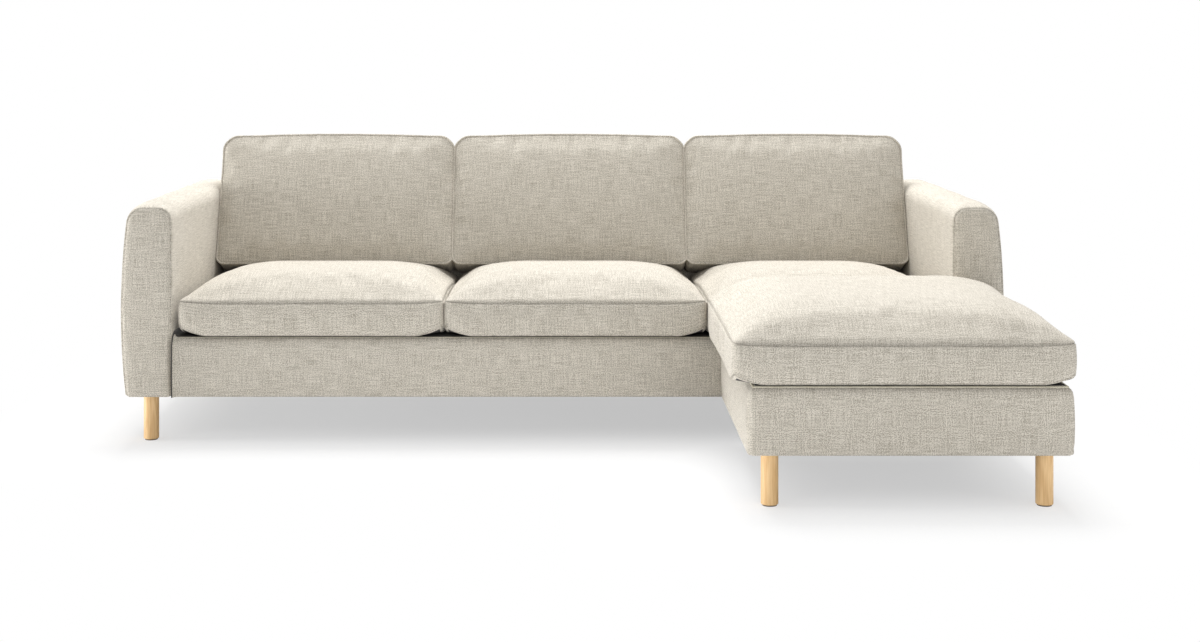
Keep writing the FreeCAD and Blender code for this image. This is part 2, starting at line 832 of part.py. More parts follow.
def rounded_plan(x0, x1, y0, y1, z, low, high):
    """A rectangle with one radius at its low-y corners and another at its high-y ones."""
    places = [
        ((x0 + low, y0 + low), low, 180),
        ((x1 - low, y0 + low), low, 270),
        ((x1 - high, y1 - high), high, 0),
        ((x0 + high, y1 - high), high, 90),
    ]
    steps = []
    for centre, radius, angle in places:
        steps.append([corner(centre, radius, angle)])
        steps.append([corner(centre, radius, angle + 45), corner(centre, radius, angle + 90)])
    return section(z, steps[0][0], steps[1:])


def box_cushion_section(place, a0, a1, levels):
    """A crowned top and a rounded underside that both run past the upright band."""
    base, low, seam, top = levels
    over = min(shoulder, round_share * (a1 - a0))
    under = min(heel, round_share * (a1 - a0))
    low_half, low_end = crown((a0, low), (a0 + under, base), past_wall)
    top_half, top_end = crown((a0, seam), (a0 + over, top), past_wall)
    return section(place, low_end, [
        [top_end],
        [top_half, (a0 + over, top)],
        [(a1 - over, top)],
        crown((a1, seam), (a1 - over, top), past_wall),
        [crown((a1, low), (a1 - under, base), past_wall)[1]],
        [crown((a1, low), (a1 - under, base), past_wall)[0], (a1 - under, base)],
        [(a0 + under, base)],
        [low_half, low_end],
    ])


def seat_side_section(place, a0, a1, levels):
    """The same, but its top falls away at the rear, where the back cushion stands on it."""
    base, low, seam, top = levels
    crease = (a0 + seat_crease, deck_z + seat_crease_height)
    fall = (top - crease[1]) / math.tan(lean / 2)
    level_end = (crease[0] - fall, top)
    rear = a1 + past_wall
    low_half, low_end = crown((a0, low), (a0 + heel, base), past_wall)
    top_half, top_end = crown((a0, seam), (a0 + shoulder, top), past_wall)
    rear_half, rear_end = crown((a1, low), (a1 - heel, base), past_wall)
    return section(place, low_end, [
        [top_end],
        [top_half, (a0 + shoulder, top)],
        [level_end],
        [crown(crease, level_end)[0], crease],
        [(rear, crease[1] - (rear - crease[0]) * math.tan(lean))],
        [rear_end],
        [rear_half, (a1 - heel, base)],
        [(a0 + heel, base)],
        [low_half, low_end],
    ])


def seat_sections(x0, x1, y0, y1, levels, side_section):
    base, low, seam, top = levels
    across = (base - cross_crown, low, seam, top + cross_crown)
    plan = rounded_plan(x0, x1, y0, y1, plan_view(base - overshoot), seat_corner, seat_corner)
    side = side_section(side_view(x0 - overshoot), y0, y1, levels)
    front = box_cushion_section(front_view(y0 - overshoot), x0, x1, across)
    return [
        (plan, V(0, 0, top - base + 2 * overshoot)),
        (side, V(x1 - x0 + 2 * overshoot, 0, 0)),
        (front, V(0, y1 - y0 + 2 * overshoot, 0)),
    ]


def make_seat_cushions():
    base = deck_z + rest_gap
    levels = (base, deck_z + seat_low_seam, deck_z + seat_seam, deck_z + seat_top)
    half = cushion_gap / 2
    outer = inner_half - seat_side_gap
    spans = {
        "left_seat_cushion": (-outer, seat_split_left - half),
        "middle_seat_cushion": (seat_split_left + half, seat_split_right - half),
        "right_seat_cushion": (seat_split_right + half, outer),
    }
    for name, (x0, x1) in spans.items():
        export_cushion(name, seat_sections(
            x0, x1, front_y, front_y + seat_depth, levels, seat_side_section))
    levels = (base, deck_z + chaise_low_seam, deck_z + chaise_seam, deck_z + chaise_top)
    export_cushion("chaise_cushion", seat_sections(
        seat_split_right + half, half_width - chaise_overlap,
        front_y - chaise_reach, front_y - cushion_gap, levels, box_cushion_section))


def back_cushion_corner():
    """Where the plane of the fixed back meets the slope at the rear of the seat cushions."""
    slope = math.tan(lean)
    crease_y = front_y + seat_crease
    crease_z = deck_z + seat_crease_height
    z = (crease_z - slope * (back_foot_y - crease_y) + deck_z * slope ** 2) / (1 + slope ** 2)
    return V(0, back_plane_y(z), z)


def bulge(place, edge, middle, rear):
    """A section with a flat rear and a bulging front, which run past both of the front's edges."""
    first = crown(edge, middle, past_wall)[1]
    last = (2 * middle[0] - first[0], first[1])
    return section(place, first, [[middle, last], [(last[0], rear)], [(first[0], rear)]])


def back_sections(x0, x1):
    """Drawn upright, with the rear face at y = 0 and the underside at z = 0."""
    rear = -rest_gap
    edge = rear - back_edge
    front = rear - back_thickness
    z0 = rest_gap
    z1 = z0 + back_length
    face = rounded_plan(
        x0, x1, z0, z1, front_view(front - past_wall), back_corner_low, back_corner_top)
    side = bulge(
        lambda z, y: V(x0 - overshoot, y, z), (z0, edge), ((z0 + z1) / 2, front), rear)
    plan = bulge(
        plan_view(z0 - past_wall), (x0, edge), ((x0 + x1) / 2, front - cross_crown), rear + past_wall)
    return [
        (face, V(0, back_thickness + 2 * past_wall, 0)),
        (side, V(x1 - x0 + 2 * overshoot, 0, 0)),
        (plan, V(0, 0, z1 - z0 + 2 * past_wall)),
    ]


def make_back_cushions():
    half = cushion_gap / 2
    outer = inner_half - back_side_gap
    spans = {
        "left_back_cushion": (-outer, back_split_left - half),
        "middle_back_cushion": (back_split_left + half, back_split_right - half),
        "right_back_cushion": (back_split_right + half, outer),
    }
    turn = FreeCAD.Placement(back_cushion_corner(), FreeCAD.Rotation(V(1, 0, 0), -back_lean))
    for name, (x0, x1) in spans.items():
        export_cushion(name, back_sections(x0, x1), turn.toMatrix())


def main():
    os.makedirs("parts", exist_ok=True)
    make_legs()
    make_leg_fittings()
    make_frame_bolts()
    make_seat_frame()
    make_leg_blocks()
    make_springs()
    make_base()
    make_back()
    make_arms()
    make_chaise()
    make_dust_cloths()
    make_seat_cushions()
    make_back_cushions()


if __name__ == "__main__":
    main()
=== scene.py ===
"""Looks of the sectional sofa with chaise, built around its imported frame."""

import math

import bmesh
import bpy
import numpy as np
from bpy.props import FloatProperty, FloatVectorProperty, IntProperty, PointerProperty
from mathutils import Euler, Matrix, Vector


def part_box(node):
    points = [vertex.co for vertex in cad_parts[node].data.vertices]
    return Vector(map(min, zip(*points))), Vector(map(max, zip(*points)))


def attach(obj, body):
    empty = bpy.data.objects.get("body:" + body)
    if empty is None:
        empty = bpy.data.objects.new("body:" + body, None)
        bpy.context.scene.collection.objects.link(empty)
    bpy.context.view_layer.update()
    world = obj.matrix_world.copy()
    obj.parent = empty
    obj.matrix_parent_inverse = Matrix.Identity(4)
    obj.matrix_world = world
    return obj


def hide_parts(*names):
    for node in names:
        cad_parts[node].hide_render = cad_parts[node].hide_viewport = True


bl_info = {
    "name": "Sectional sofa with chaise",
    "version": (1, 0, 0),
    "blender": (4, 5, 0),
    "location": "3D View > Sidebar > Sofa",
    "description": "Makes the cushions, covers, finishes and studio of a sofa with a chaise",
    "category": "Add Mesh",
}

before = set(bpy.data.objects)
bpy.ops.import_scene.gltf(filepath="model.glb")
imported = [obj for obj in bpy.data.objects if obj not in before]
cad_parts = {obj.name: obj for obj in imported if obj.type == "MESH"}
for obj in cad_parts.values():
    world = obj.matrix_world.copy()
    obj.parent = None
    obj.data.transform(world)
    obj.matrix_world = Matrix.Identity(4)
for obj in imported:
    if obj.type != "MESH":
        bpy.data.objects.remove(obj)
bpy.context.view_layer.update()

# Places and sizes that the frame's boxes don't give, in metres and degrees, and how firm a
# fixed cover's padding is, as the share of its room that it fills
back_lean = 19.5
back_foot = (0.0, 0.59541, 0.36540)
back_height = 0.408
arm_inner = 1.049
arm_outer = 1.190
arm_top = 0.645
leg_height = 0.127
hem_fold = 0.0036
outline_step = 0.016
firm = 0.95


# Settings that a user would change

class SofaClothSettings(bpy.types.PropertyGroup):
    light: FloatVectorProperty(
        name="Light yarn", description="Colour of the light yarns in the cover cloth",
        subtype="COLOR", default=(0.70, 0.655, 0.575), min=0, max=1)
    dark: FloatVectorProperty(
        name="Dark yarn", description="Colour of the dark yarns in the cover cloth",
        subtype="COLOR", default=(0.355, 0.325, 0.270), min=0, max=1)
    yarn: FloatProperty(
        name="Yarn", description="Distance from one yarn to the next",
        subtype="DISTANCE", unit="LENGTH", default=0.0024, min=0.0003, max=0.01)
    slub: FloatProperty(
        name="Slub length", description="Length of the thick stretches in the yarns",
        subtype="DISTANCE", unit="LENGTH", default=0.055, min=0.003, max=0.2)
    # How bright the cloth is in a seam's fold, where it is darkened as painted shade of the crevice
    seam_painted_shade: FloatProperty(
        name="Seam shade", description="Brightness of the cloth in the fold of a seam",
        subtype="FACTOR", default=0.86, min=0, max=1)
    relief: FloatProperty(
        name="Relief", description="How strongly the yarns stand out", subtype="FACTOR",
        default=0.35, min=0, max=1)


class SofaCushionSettings(bpy.types.PropertyGroup):
    seam_groove: FloatProperty(
        name="Seam groove", description="Depth of the line where two panels are sewn together",
        subtype="DISTANCE", unit="LENGTH", default=0.0035, min=0, max=0.01)
    piping: FloatProperty(
        name="Piping", description="Radius of the piping round a back cushion's front",
        subtype="DISTANCE", unit="LENGTH", default=0.0028, min=0.001, max=0.01)
    ear_lift: FloatProperty(
        name="Ear lift", description="How much higher the upper seam stands at a cushion's corners",
        subtype="DISTANCE", unit="LENGTH", default=0.006, min=0, max=0.03)
    pull_in: FloatProperty(
        name="Pull in", description="How far a cushion's sides pull in between its corners",
        subtype="DISTANCE", unit="LENGTH", default=0.003, min=0, max=0.02)
    pressure: FloatProperty(
        name="Filling pressure", description="Pressure of the filling in the cloth simulation",
        default=4.0, min=0, max=20)
    most_swell: FloatProperty(
        name="Most swell", description="The furthest that the simulation may move a point",
        subtype="DISTANCE", unit="LENGTH", default=0.006, min=0, max=0.05)
    frames: IntProperty(
        name="Frames", description="Steps of the cloth simulation", default=20, min=1, max=60)
    fine_step: FloatProperty(
        name="Mesh step", description="Distance between points of the finished cushions",
        subtype="DISTANCE", unit="LENGTH", default=0.010, min=0.004, max=0.05)
    cloth_step: FloatProperty(
        name="Cloth step", description="Distance between points while the cloth is simulated",
        subtype="DISTANCE", unit="LENGTH", default=0.018, min=0.008, max=0.05)


class SofaUpholsterySettings(bpy.types.PropertyGroup):
    face_swell: FloatProperty(
        name="Face swell", description="How far the padding stands out in the middle of a panel",
        subtype="DISTANCE", unit="LENGTH", default=0.004, min=0, max=0.01)
    arm_top_drop: FloatProperty(
        name="Arm top drop", description="How much lower the top of an arm is at its front seam",
        subtype="DISTANCE", unit="LENGTH", default=0.008, min=0, max=0.03)
    arm_end_round: FloatProperty(
        name="Arm end round", description="How far an arm's sides round in at its front and rear",
        subtype="DISTANCE", unit="LENGTH", default=0.005, min=0, max=0.02)
    hem: FloatProperty(
        name="Hem", description="Width of the cloth that is turned under the frame",
        subtype="DISTANCE", unit="LENGTH", default=0.027, min=0.005, max=0.06)
    cloth_sag: FloatProperty(
        name="Dust cloth sag", description="How far a dust cloth hangs in its middle",
        subtype="DISTANCE", unit="LENGTH", default=0.002, min=0, max=0.02)


class SofaStageSettings(bpy.types.PropertyGroup):
    floor_tone: FloatProperty(
        name="Floor", description="Brightness of the floor", subtype="FACTOR",
        default=0.90, min=0, max=1)
    floor_lift: FloatProperty(
        name="Floor lift", description="How much of the floor's shade the camera sees as white",
        subtype="FACTOR", default=0.51, min=0, max=1)
    sky: FloatProperty(
        name="Sky", description="Strength of the even light from all sides", default=0.60, min=0)
    top_power: FloatProperty(
        name="Top lamp", description="Power of the soft lamp above and behind the sofa",
        subtype="POWER", unit="POWER", default=400.0, min=0)
    left_power: FloatProperty(
        name="Left lamp", description="Power of the low soft lamp at the left of the sofa",
        subtype="POWER", unit="POWER", default=265.0, min=0)
    front_power: FloatProperty(
        name="Front lamp", description="Power of the low soft lamp in front of the sofa",
        subtype="POWER", unit="POWER", default=24.0, min=0)


# Points, panels and meshes

def soft_edge(distance, reach, power=0.5):
    """0 at an edge, rising to 1 over a reach, the way that filling rounds a cover."""
    run = 1 - np.clip(np.asarray(distance, float) / reach, 0, 1)
    return (1 - run ** 2) ** power


def near_corner(across, along, width, length, reach, power=2.0):
    """1 at each corner of a rectangle, falling to 0 at some reach from it."""
    gap = np.hypot(np.minimum(across, width - across), np.minimum(along, length - along))
    return np.clip(1 - gap / reach, 0, 1) ** power


def spaced(length, step, margins=()):
    """Places from 0 to a length: some close to both ends and even steps between them."""
    margins = list(margins)
    first = margins[-1] if margins else 0.0
    count = max(2, int(round((length - 2 * first) / step)))
    middle = list(np.linspace(first, length - first, count + 1))
    if not margins:
        return np.array(middle)
    ends = margins[:-1]
    return np.array([0.0] + ends + middle + [length - m for m in reversed(ends)] + [length])


def run_along(points):
    """How far along a row of points each of them lies."""
    return np.concatenate([[0.0], np.cumsum(np.linalg.norm(np.diff(points, axis=0), axis=1))])


def grid_of(rows, columns):
    """A grid of flat points, with a place from each of two rows."""
    return np.stack(np.meshgrid(rows, columns, indexing="ij"), -1)


def unit_rows(directions):
    """The same directions, each with a length of 1."""
    return directions / np.maximum(np.linalg.norm(directions, axis=1, keepdims=True), 1e-9)


def round_corners(across, along, width, length, radii):
    """Rounds a rectangle's corners, the near ones and the far ones each with a radius."""
    half = (width / 2, length / 2)
    radius = np.where(along < half[1], radii[0], radii[1])
    gone = [across - half[0], along - half[1]]
    part = [np.clip((np.abs(g) - h + radius) / radius, 0, 1) for g, h in zip(gone, half)]
    bent = [part[0] * np.sqrt(1 - part[1] ** 2 / 2), part[1] * np.sqrt(1 - part[0] ** 2 / 2)]
    placed = []
    for g, h, p, b in zip(gone, half, part, bent):
        size = np.where(p > 0, h - radius + radius * b, np.abs(g))
        placed.append(h + np.sign(g) * size)
    return placed


def border(grid):
    """The points round the edge of a grid as one closed row."""
    return np.concatenate([grid[:, 0], grid[-1, 1:], grid[-2::-1, -1], grid[0, -2::-1]])


def border_lengths(across, along):
    """How far round its rectangle each point of border() lies."""
    sides = [np.diff(across), np.diff(along)]
    steps = np.concatenate(sides + [side[::-1] for side in sides])
    return np.concatenate([[0.0], np.cumsum(steps)])


def cloth_lengths(points):
    """Lengths over the cloth along the two middle lines of a grid, so that a weave isn't stretched."""
    row, column = points.shape[0] // 2, points.shape[1] // 2
    return grid_of(run_along(points[:, column]), run_along(points[row]))


def outward(loop):
    """Directions away from the middle of a closed row of flat points, which runs anticlockwise."""
    ring = loop[:-1, :2]
    tangent = np.roll(ring, -1, 0) - np.roll(ring, 1, 0)
    away = unit_rows(np.stack([tangent[:, 1], -tangent[:, 0]], -1))
    return np.concatenate([away, away[:1]])


def bent_between(values, old, new):
    """Smooth values at new places along the first axis."""
    slope = np.gradient(values, old, axis=0)
    k = np.clip(np.searchsorted(old, new, side="right") - 1, 0, len(old) - 2)
    width = (old[k + 1] - old[k])[:, None, None]
    t = ((new - old[k])[:, None, None]) / width
    return (
        (2 * t ** 3 - 3 * t ** 2 + 1) * values[k] + (t ** 3 - 2 * t ** 2 + t) * width * slope[k]
        + (3 * t ** 2 - 2 * t ** 3) * values[k + 1] + (t ** 3 - t ** 2) * width * slope[k + 1])


class Patchwork:
    """Panels of cloth, each a grid of points, that are sewn together where their edges meet.

    A panel has its flat layout for the weave, how deep each point is drawn in, and its faces' finish.
    """

    def __init__(self):
        self.points = []
        self.lays = []
        self.sinks = []
        self.faces = []
        self.finishes = []
        self.count = 0

    def panel(self, points, lay, sink=0.0, finish=0):
        rows, columns = points.shape[:2]
        self.points.append(points.reshape(-1, 3))
        self.lays.append(np.asarray(lay, float).reshape(-1, 2))
        self.sinks.append(np.broadcast_to(sink, (rows, columns)).reshape(-1))
        index = np.arange(rows * columns).reshape(rows, columns) + self.count
        quads = np.stack([index[:-1, :-1], index[1:, :-1], index[1:, 1:], index[:-1, 1:]], -1)
        self.faces.append(quads.reshape(-1, 4))
        self.finishes.append(np.broadcast_to(finish, (rows - 1, columns - 1)).reshape(-1))
        self.count += rows * columns

    def cap(self, loop, lay):
        """One flat face inside a row of points."""
        self.points.append(loop)
        self.lays.append(lay)
        self.sinks.append(np.zeros(len(loop)))
        self.faces.append(np.arange(len(loop))[None, :] + self.count)
        self.finishes.append(np.zeros(1, int))
        self.count += len(loop)

    def sewn(self):
        """Points without repeats, and for each point given its place among them."""
        points = np.concatenate(self.points)
        _, first, where = np.unique(
            np.round(points / 2e-6).astype(np.int64), axis=0, return_index=True, return_inverse=True)
        return points[first], first, where.reshape(-1)

    def mesh(self, name):
        """One mesh of all panels, with their layout, their finishes and their seams drawn in."""
        points, first, where = self.sewn()
        lays = np.concatenate(self.lays)
        sinks = np.concatenate(self.sinks)[first]
        faces, lay_rows, finishes = [], [], []
        for group, marks in zip(self.faces, self.finishes):
            for face, mark in zip(group, marks):
                kept, rows = [], []
                for corner in face:
                    if where[corner] not in kept:
                        kept.append(int(where[corner]))
                        rows.append(corner)
                if len(kept) > 2:
                    faces.append(kept)
                    lay_rows.extend(rows)
                    finishes.append(int(mark))
        mesh = bpy.data.meshes.new(name)
        mesh.from_pydata(points.tolist(), [], faces)
        layer = mesh.uv_layers.new(name="cloth")
        layer.data.foreach_set("uv", lays[lay_rows].astype(np.float32).ravel())
        mesh.polygons.foreach_set("material_index", finishes)
        work = bmesh.new()
        work.from_mesh(mesh)
        bmesh.ops.recalc_face_normals(work, faces=work.faces)
        work.to_mesh(mesh)
        work.free()
        if np.abs(sinks).max() > 0:
            normals = np.zeros(len(points) * 3, np.float32)
            mesh.vertices.foreach_get("normal", normals)
            moved = points + normals.reshape(-1, 3) * sinks[:, None]
            mesh.vertices.foreach_set("co", moved.astype(np.float32).ravel())
        mesh.polygons.foreach_set("use_smooth", [True] * len(mesh.polygons))
        mesh.update()
        return mesh

    def piece(self, name, body, finishes, slot, replaced=(), fill=None):
        """The finished object, riding on its body in place of its CAD nodes."""
        made = bpy.data.objects.new(name, self.mesh(name))
        bpy.context.scene.collection.objects.link(made)
        for finish in finishes:
            made.data.materials.append(finish)
        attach(made, body)
        if replaced:
            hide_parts(*replaced)
        return made


def tube(patchwork, path, radius, sides, turn):
    """A round cord along a closed row of points, with turn giving two directions across it."""
    angles = np.linspace(0, 2 * math.pi, sides + 1)
    one, other = turn
    ring = (
        path[:, None, :] + radius * np.cos(angles)[None, :, None] * one[:, None, :]
        + radius * np.sin(angles)[None, :, None] * other[:, None, :])
    ring[:, -1] = ring[:, 0]
    patchwork.panel(ring, grid_of(run_along(path), angles * radius))


# Finishes

def add_node(tree, kind, inputs=None, **settings):
    node = tree.nodes.new(kind)
    for name, value in settings.items():
        setattr(node, name, value)
    for name, value in (inputs or {}).items():
        socket = node.inputs[name]
        if isinstance(value, bpy.types.NodeSocket):
            tree.links.new(value, socket)
        else:
            socket.default_value = value
    return node


def maths(tree, operation, *values):
    return add_node(
        tree, "ShaderNodeMath", dict(enumerate(values)), operation=operation).outputs[0]


def stretched_noise(tree, place, scales, detail=2.0):
    """Noise whose features have a given number per metre along each direction."""
    scaled = add_node(
        tree, "ShaderNodeVectorMath", {0: place, 1: scales}, operation="MULTIPLY").outputs[0]
    return add_node(
        tree, "ShaderNodeTexNoise", {"Vector": scaled, "Scale": 1.0, "Detail": detail}
    ).outputs["Fac"]


def blended(tree, share, low, high):
    """A colour between two colours."""
    node = add_node(tree, "ShaderNodeMix", {"Factor": share}, data_type="RGBA")
    for place, value in ((6, low), (7, high)):
        if isinstance(value, bpy.types.NodeSocket):
            tree.links.new(value, node.inputs[place])
        else:
            node.inputs[place].default_value = value
    return node.outputs[2]


def new_group(name, inputs, outputs):
    tree = bpy.data.node_groups.new(name, "ShaderNodeTree")
    for label, kind, value in inputs:
        socket = tree.interface.new_socket(name=label, in_out="INPUT", socket_type="NodeSocket" + kind)
        if value is not None:
            socket.default_value = value
    for label, kind in outputs:
        tree.interface.new_socket(name=label, in_out="OUTPUT", socket_type="NodeSocket" + kind)
    return tree, tree.nodes.new("NodeGroupInput").outputs, tree.nodes.new("NodeGroupOutput").inputs


def woven_group():
    """Melange cloth: slubby yarns both ways, light and dark, with their relief."""
    tree, given, put = new_group(
        "Woven cloth",
        [("Place", "Vector", None), ("Yarn", "Float", 0.0016), ("Slub", "Float", 0.02),
         ("Light", "Color", (0.7, 0.66, 0.58, 1)), ("Dark", "Color", (0.35, 0.32, 0.27, 1)),
         ("Contrast", "Float", 1.0)],
        [("Color", "Color"), ("Roughness", "Float"), ("Height", "Float")])
    per_yarn = maths(tree, "DIVIDE", 1.0, given["Yarn"])
    per_slub = maths(tree, "DIVIDE", 1.0, given["Slub"])

    def scales(across, along):
        return add_node(tree, "ShaderNodeCombineXYZ", {"X": across, "Y": along}).outputs[0]

    parts = (
        (stretched_noise(tree, given["Place"], scales(per_slub, per_yarn), 1.0), 1.5),
        (stretched_noise(tree, given["Place"], scales(per_yarn, per_slub), 1.0), 1.35),
        (stretched_noise(tree, given["Place"], scales(per_yarn, per_yarn), 1.0), 4.2),
        (stretched_noise(tree, given["Place"], (7.0, 7.0, 1.0), 3.0), 0.12),
    )
    tone = 0.0
    for source, weight in parts:
        part = maths(tree, "MULTIPLY", maths(tree, "SUBTRACT", source, 0.5), weight)
        tone = maths(tree, "ADD", tone, part)
    uneven = maths(tree, "MULTIPLY", maths(tree, "MULTIPLY", tone, tone), 0.5)
    tone = maths(tree, "SUBTRACT", tone, uneven)
    tone = maths(tree, "MULTIPLY", tone, given["Contrast"])
    share = maths(tree, "ADD", tone, 0.55)
    share = add_node(tree, "ShaderNodeClamp", {"Value": share}).outputs[0]
    tree.links.new(blended(tree, share, given["Dark"], given["Light"]), put["Color"])

    split = add_node(tree, "ShaderNodeSeparateXYZ", {"Vector": given["Place"]}).outputs
    turns = maths(tree, "MULTIPLY", per_yarn, 2 * math.pi)
    waves = [maths(tree, "SINE", maths(tree, "MULTIPLY", split[i], turns)) for i in (0, 1)]
    crossing = maths(tree, "MULTIPLY", waves[0], waves[1])
    height = maths(tree, "ADD", maths(tree, "MULTIPLY", crossing, 0.3), share)
    tree.links.new(height, put["Height"])
    rough = add_node(
        tree, "ShaderNodeMapRange", {"Value": share, "To Min": 0.95, "To Max": 0.80}).outputs[0]
    tree.links.new(rough, put["Roughness"])
    return tree


def timber_group():
    """Wood with rings and fine pores that run along one direction."""
    tree, given, put = new_group(
        "Timber grain",
        [("Place", "Vector", None), ("Light", "Color", (0.8, 0.55, 0.3, 1)),
         ("Dark", "Color", (0.6, 0.37, 0.17, 1)), ("Across", "Vector", (60.0, 60.0, 4.0)),
         ("Pores", "Vector", (900.0, 900.0, 30.0))],
        [("Color", "Color"), ("Roughness", "Float"), ("Height", "Float")])
    rings = stretched_noise(tree, given["Place"], given["Across"], 2.0)
    bands = maths(tree, "SINE", maths(tree, "MULTIPLY", rings, 46.0))
    pores = stretched_noise(tree, given["Place"], given["Pores"], 3.0)
    share = maths(tree, "ADD", maths(tree, "MULTIPLY", bands, 0.22), 0.5)
    spots = maths(tree, "MULTIPLY", maths(tree, "SUBTRACT", pores, 0.5), 1.3)
    share = add_node(tree, "ShaderNodeClamp", {"Value": maths(tree, "ADD", share, spots)}).outputs[0]
    tree.links.new(blended(tree, share, given["Dark"], given["Light"]), put["Color"])
    rough = add_node(
        tree, "ShaderNodeMapRange", {"Value": share, "To Min": 0.55, "To Max": 0.40}).outputs[0]
    tree.links.new(rough, put["Roughness"])
    tree.links.new(pores, put["Height"])
    return tree


def mottled_group():
    """Uneven tone for plain stuff such as steel, felt, foam and dust cloth."""
    tree, given, put = new_group(
        "Mottled",
        [("Place", "Vector", None), ("Light", "Color", (0.5, 0.5, 0.5, 1)),
         ("Dark", "Color", (0.4, 0.4, 0.4, 1)), ("Coarse", "Vector", (40.0, 40.0, 40.0)),
         ("Fine", "Vector", (900.0, 900.0, 900.0)), ("Rough", "Float", 0.5)],
        [("Color", "Color"), ("Roughness", "Float"), ("Height", "Float")])
    coarse = stretched_noise(tree, given["Place"], given["Coarse"], 3.0)
    fine = stretched_noise(tree, given["Place"], given["Fine"], 2.0)
    share = maths(tree, "MULTIPLY", maths(tree, "ADD", coarse, fine), 0.5)
    share = add_node(
        tree, "ShaderNodeMapRange", {"Value": share, "From Min": 0.35, "From Max": 0.65}).outputs[0]
    tree.links.new(blended(tree, share, given["Dark"], given["Light"]), put["Color"])
    shift = maths(tree, "MULTIPLY", maths(tree, "SUBTRACT", fine, 0.5), 0.25)
    tree.links.new(maths(tree, "ADD", given["Rough"], shift), put["Roughness"])
    tree.links.new(fine, put["Height"])
    return tree


def colour(value):
    return (*value, 1.0)


def finish_material(name, group, inputs, on_cloth=False, relief=0.3, depth=0.0006, **surface):
    """A material whose colour, roughness and relief come from one of the groups."""
    material = bpy.data.materials.get(name)
    if material:
        return material
    material = bpy.data.materials.new(name)
    material.use_nodes = True
    tree = material.node_tree
    tree.nodes.clear()
    if on_cloth:
        place = add_node(tree, "ShaderNodeUVMap", uv_map="cloth").outputs[0]
    else:
        place = add_node(tree, "ShaderNodeTexCoord").outputs["Object"]
    source = add_node(tree, "ShaderNodeGroup", node_tree=bpy.data.node_groups[group])
    tree.links.new(place, source.inputs["Place"])
    for label, value in inputs.items():
        source.inputs[label].default_value = value
    bump = add_node(tree, "ShaderNodeBump", {
        "Height": source.outputs["Height"], "Strength": relief, "Distance": depth}).outputs[0]
    shader = add_node(tree, "ShaderNodeBsdfPrincipled", {
        "Base Color": source.outputs["Color"], "Roughness": source.outputs["Roughness"],
        "Normal": bump})
    for label, value in surface.items():
        shader.inputs[label.replace("_", " ")].default_value = value
    output = add_node(tree, "ShaderNodeOutputMaterial")
    tree.links.new(shader.outputs[0], output.inputs["Surface"])
    return material


def cover_cloth(settings, name="Cover cloth", shade=1.0):
    """The sofa's woven cover; a shade below 1 makes a darker copy with less sheen, which is painted shade.
    """
    return finish_material(name, "Woven cloth", {
        "Yarn": settings.yarn, "Slub": settings.slub,
        # A shade below 1 darkens both yarn colours and the sheen: painted shade
        "Light": colour([part * shade for part in settings.light]),
        "Dark": colour([part * shade for part in settings.dark])},
        on_cloth=True, relief=settings.relief, depth=0.0009,
        Sheen_Weight=0.22 * shade, Sheen_Roughness=0.45, Specular_IOR_Level=0.25,
        Sheen_Tint=(1.0, 0.97, 0.93, 1.0))


def cover_finishes(settings):
    """The cover's cloth, a darker copy of it as painted shade in the fold of a seam, and the dark lining
    where it is hidden.
    """
    lining = finish_material("Lining", "Mottled", {
        "Light": (0.085, 0.08, 0.075, 1), "Dark": (0.045, 0.042, 0.04, 1),
        "Coarse": (60.0, 60.0, 1.0), "Fine": (500.0, 500.0, 1.0), "Rough": 0.9},
        on_cloth=True, relief=0.4)
    # The second cloth is the cover darkened for seam folds: painted shade
    return [cover_cloth(settings), cover_cloth(settings, "Cover seam painted shade", settings.seam_painted_shade), lining]


frame_finishes = {
    "Oak": (
        ("front_left_leg", "front_right_leg", "rear_left_leg", "rear_right_leg",
         "rear_middle_leg", "chaise_left_leg", "chaise_right_leg"),
        "Timber grain", {
            "Light": (0.92, 0.64, 0.33, 1), "Dark": (0.68, 0.41, 0.17, 1),
            "Across": (38.0, 38.0, 3.0), "Pores": (700.0, 700.0, 22.0)},
        {"relief": 0.2, "Coat_Weight": 0.12, "Coat_Roughness": 0.35}),
    "Frame timber": (
        ("front_rail", "spring_rail", "rear_rail", "side_rails", "cross_rails", "arm_posts",
         "arm_rails", "back_posts", "back_boards", "leg_blocks", "chaise_end_rails",
         "chaise_side_rails"),
        "Timber grain", {
            "Light": (0.74, 0.56, 0.36, 1), "Dark": (0.52, 0.35, 0.19, 1),
            "Across": (5.0, 45.0, 45.0), "Pores": (30.0, 600.0, 600.0)},
        {"relief": 0.3}),
    "Hardboard": (
        ("arm_panels",), "Mottled", {
            "Light": (0.36, 0.22, 0.12, 1), "Dark": (0.26, 0.15, 0.08, 1), "Rough": 0.7},
        {"relief": 0.3}),
    "Zinc steel": (
        ("leg_plates", "plate_screws", "leg_bolts", "leg_tee_nuts", "frame_bolts",
         "frame_inserts"),
        "Mottled", {
            "Light": (0.72, 0.73, 0.74, 1), "Dark": (0.50, 0.51, 0.53, 1), "Rough": 0.38},
        {"relief": 0.1, "Metallic": 1.0}),
    "Spring steel": (
        ("zigzag_springs", "spring_clips"), "Mottled", {
            "Light": (0.22, 0.23, 0.25, 1), "Dark": (0.12, 0.12, 0.14, 1), "Rough": 0.42},
        {"relief": 0.1, "Metallic": 1.0}),
    "Webbing": (
        ("back_webbing",), "Mottled", {
            "Light": (0.05, 0.05, 0.055, 1), "Dark": (0.02, 0.02, 0.022, 1),
            "Coarse": (200.0, 20.0, 900.0), "Rough": 0.8},
        {"relief": 0.5}),
    "Foam": (
        ("deck_pad", "chaise_deck_pad"), "Mottled", {
            "Light": (0.80, 0.76, 0.62, 1), "Dark": (0.66, 0.61, 0.46, 1), "Rough": 0.9},
        {"relief": 0.6}),
    "Felt": (
        ("leg_glides",), "Mottled", {
            "Light": (0.25, 0.22, 0.19, 1), "Dark": (0.13, 0.11, 0.10, 1), "Rough": 0.95},
        {"relief": 0.6}),
}


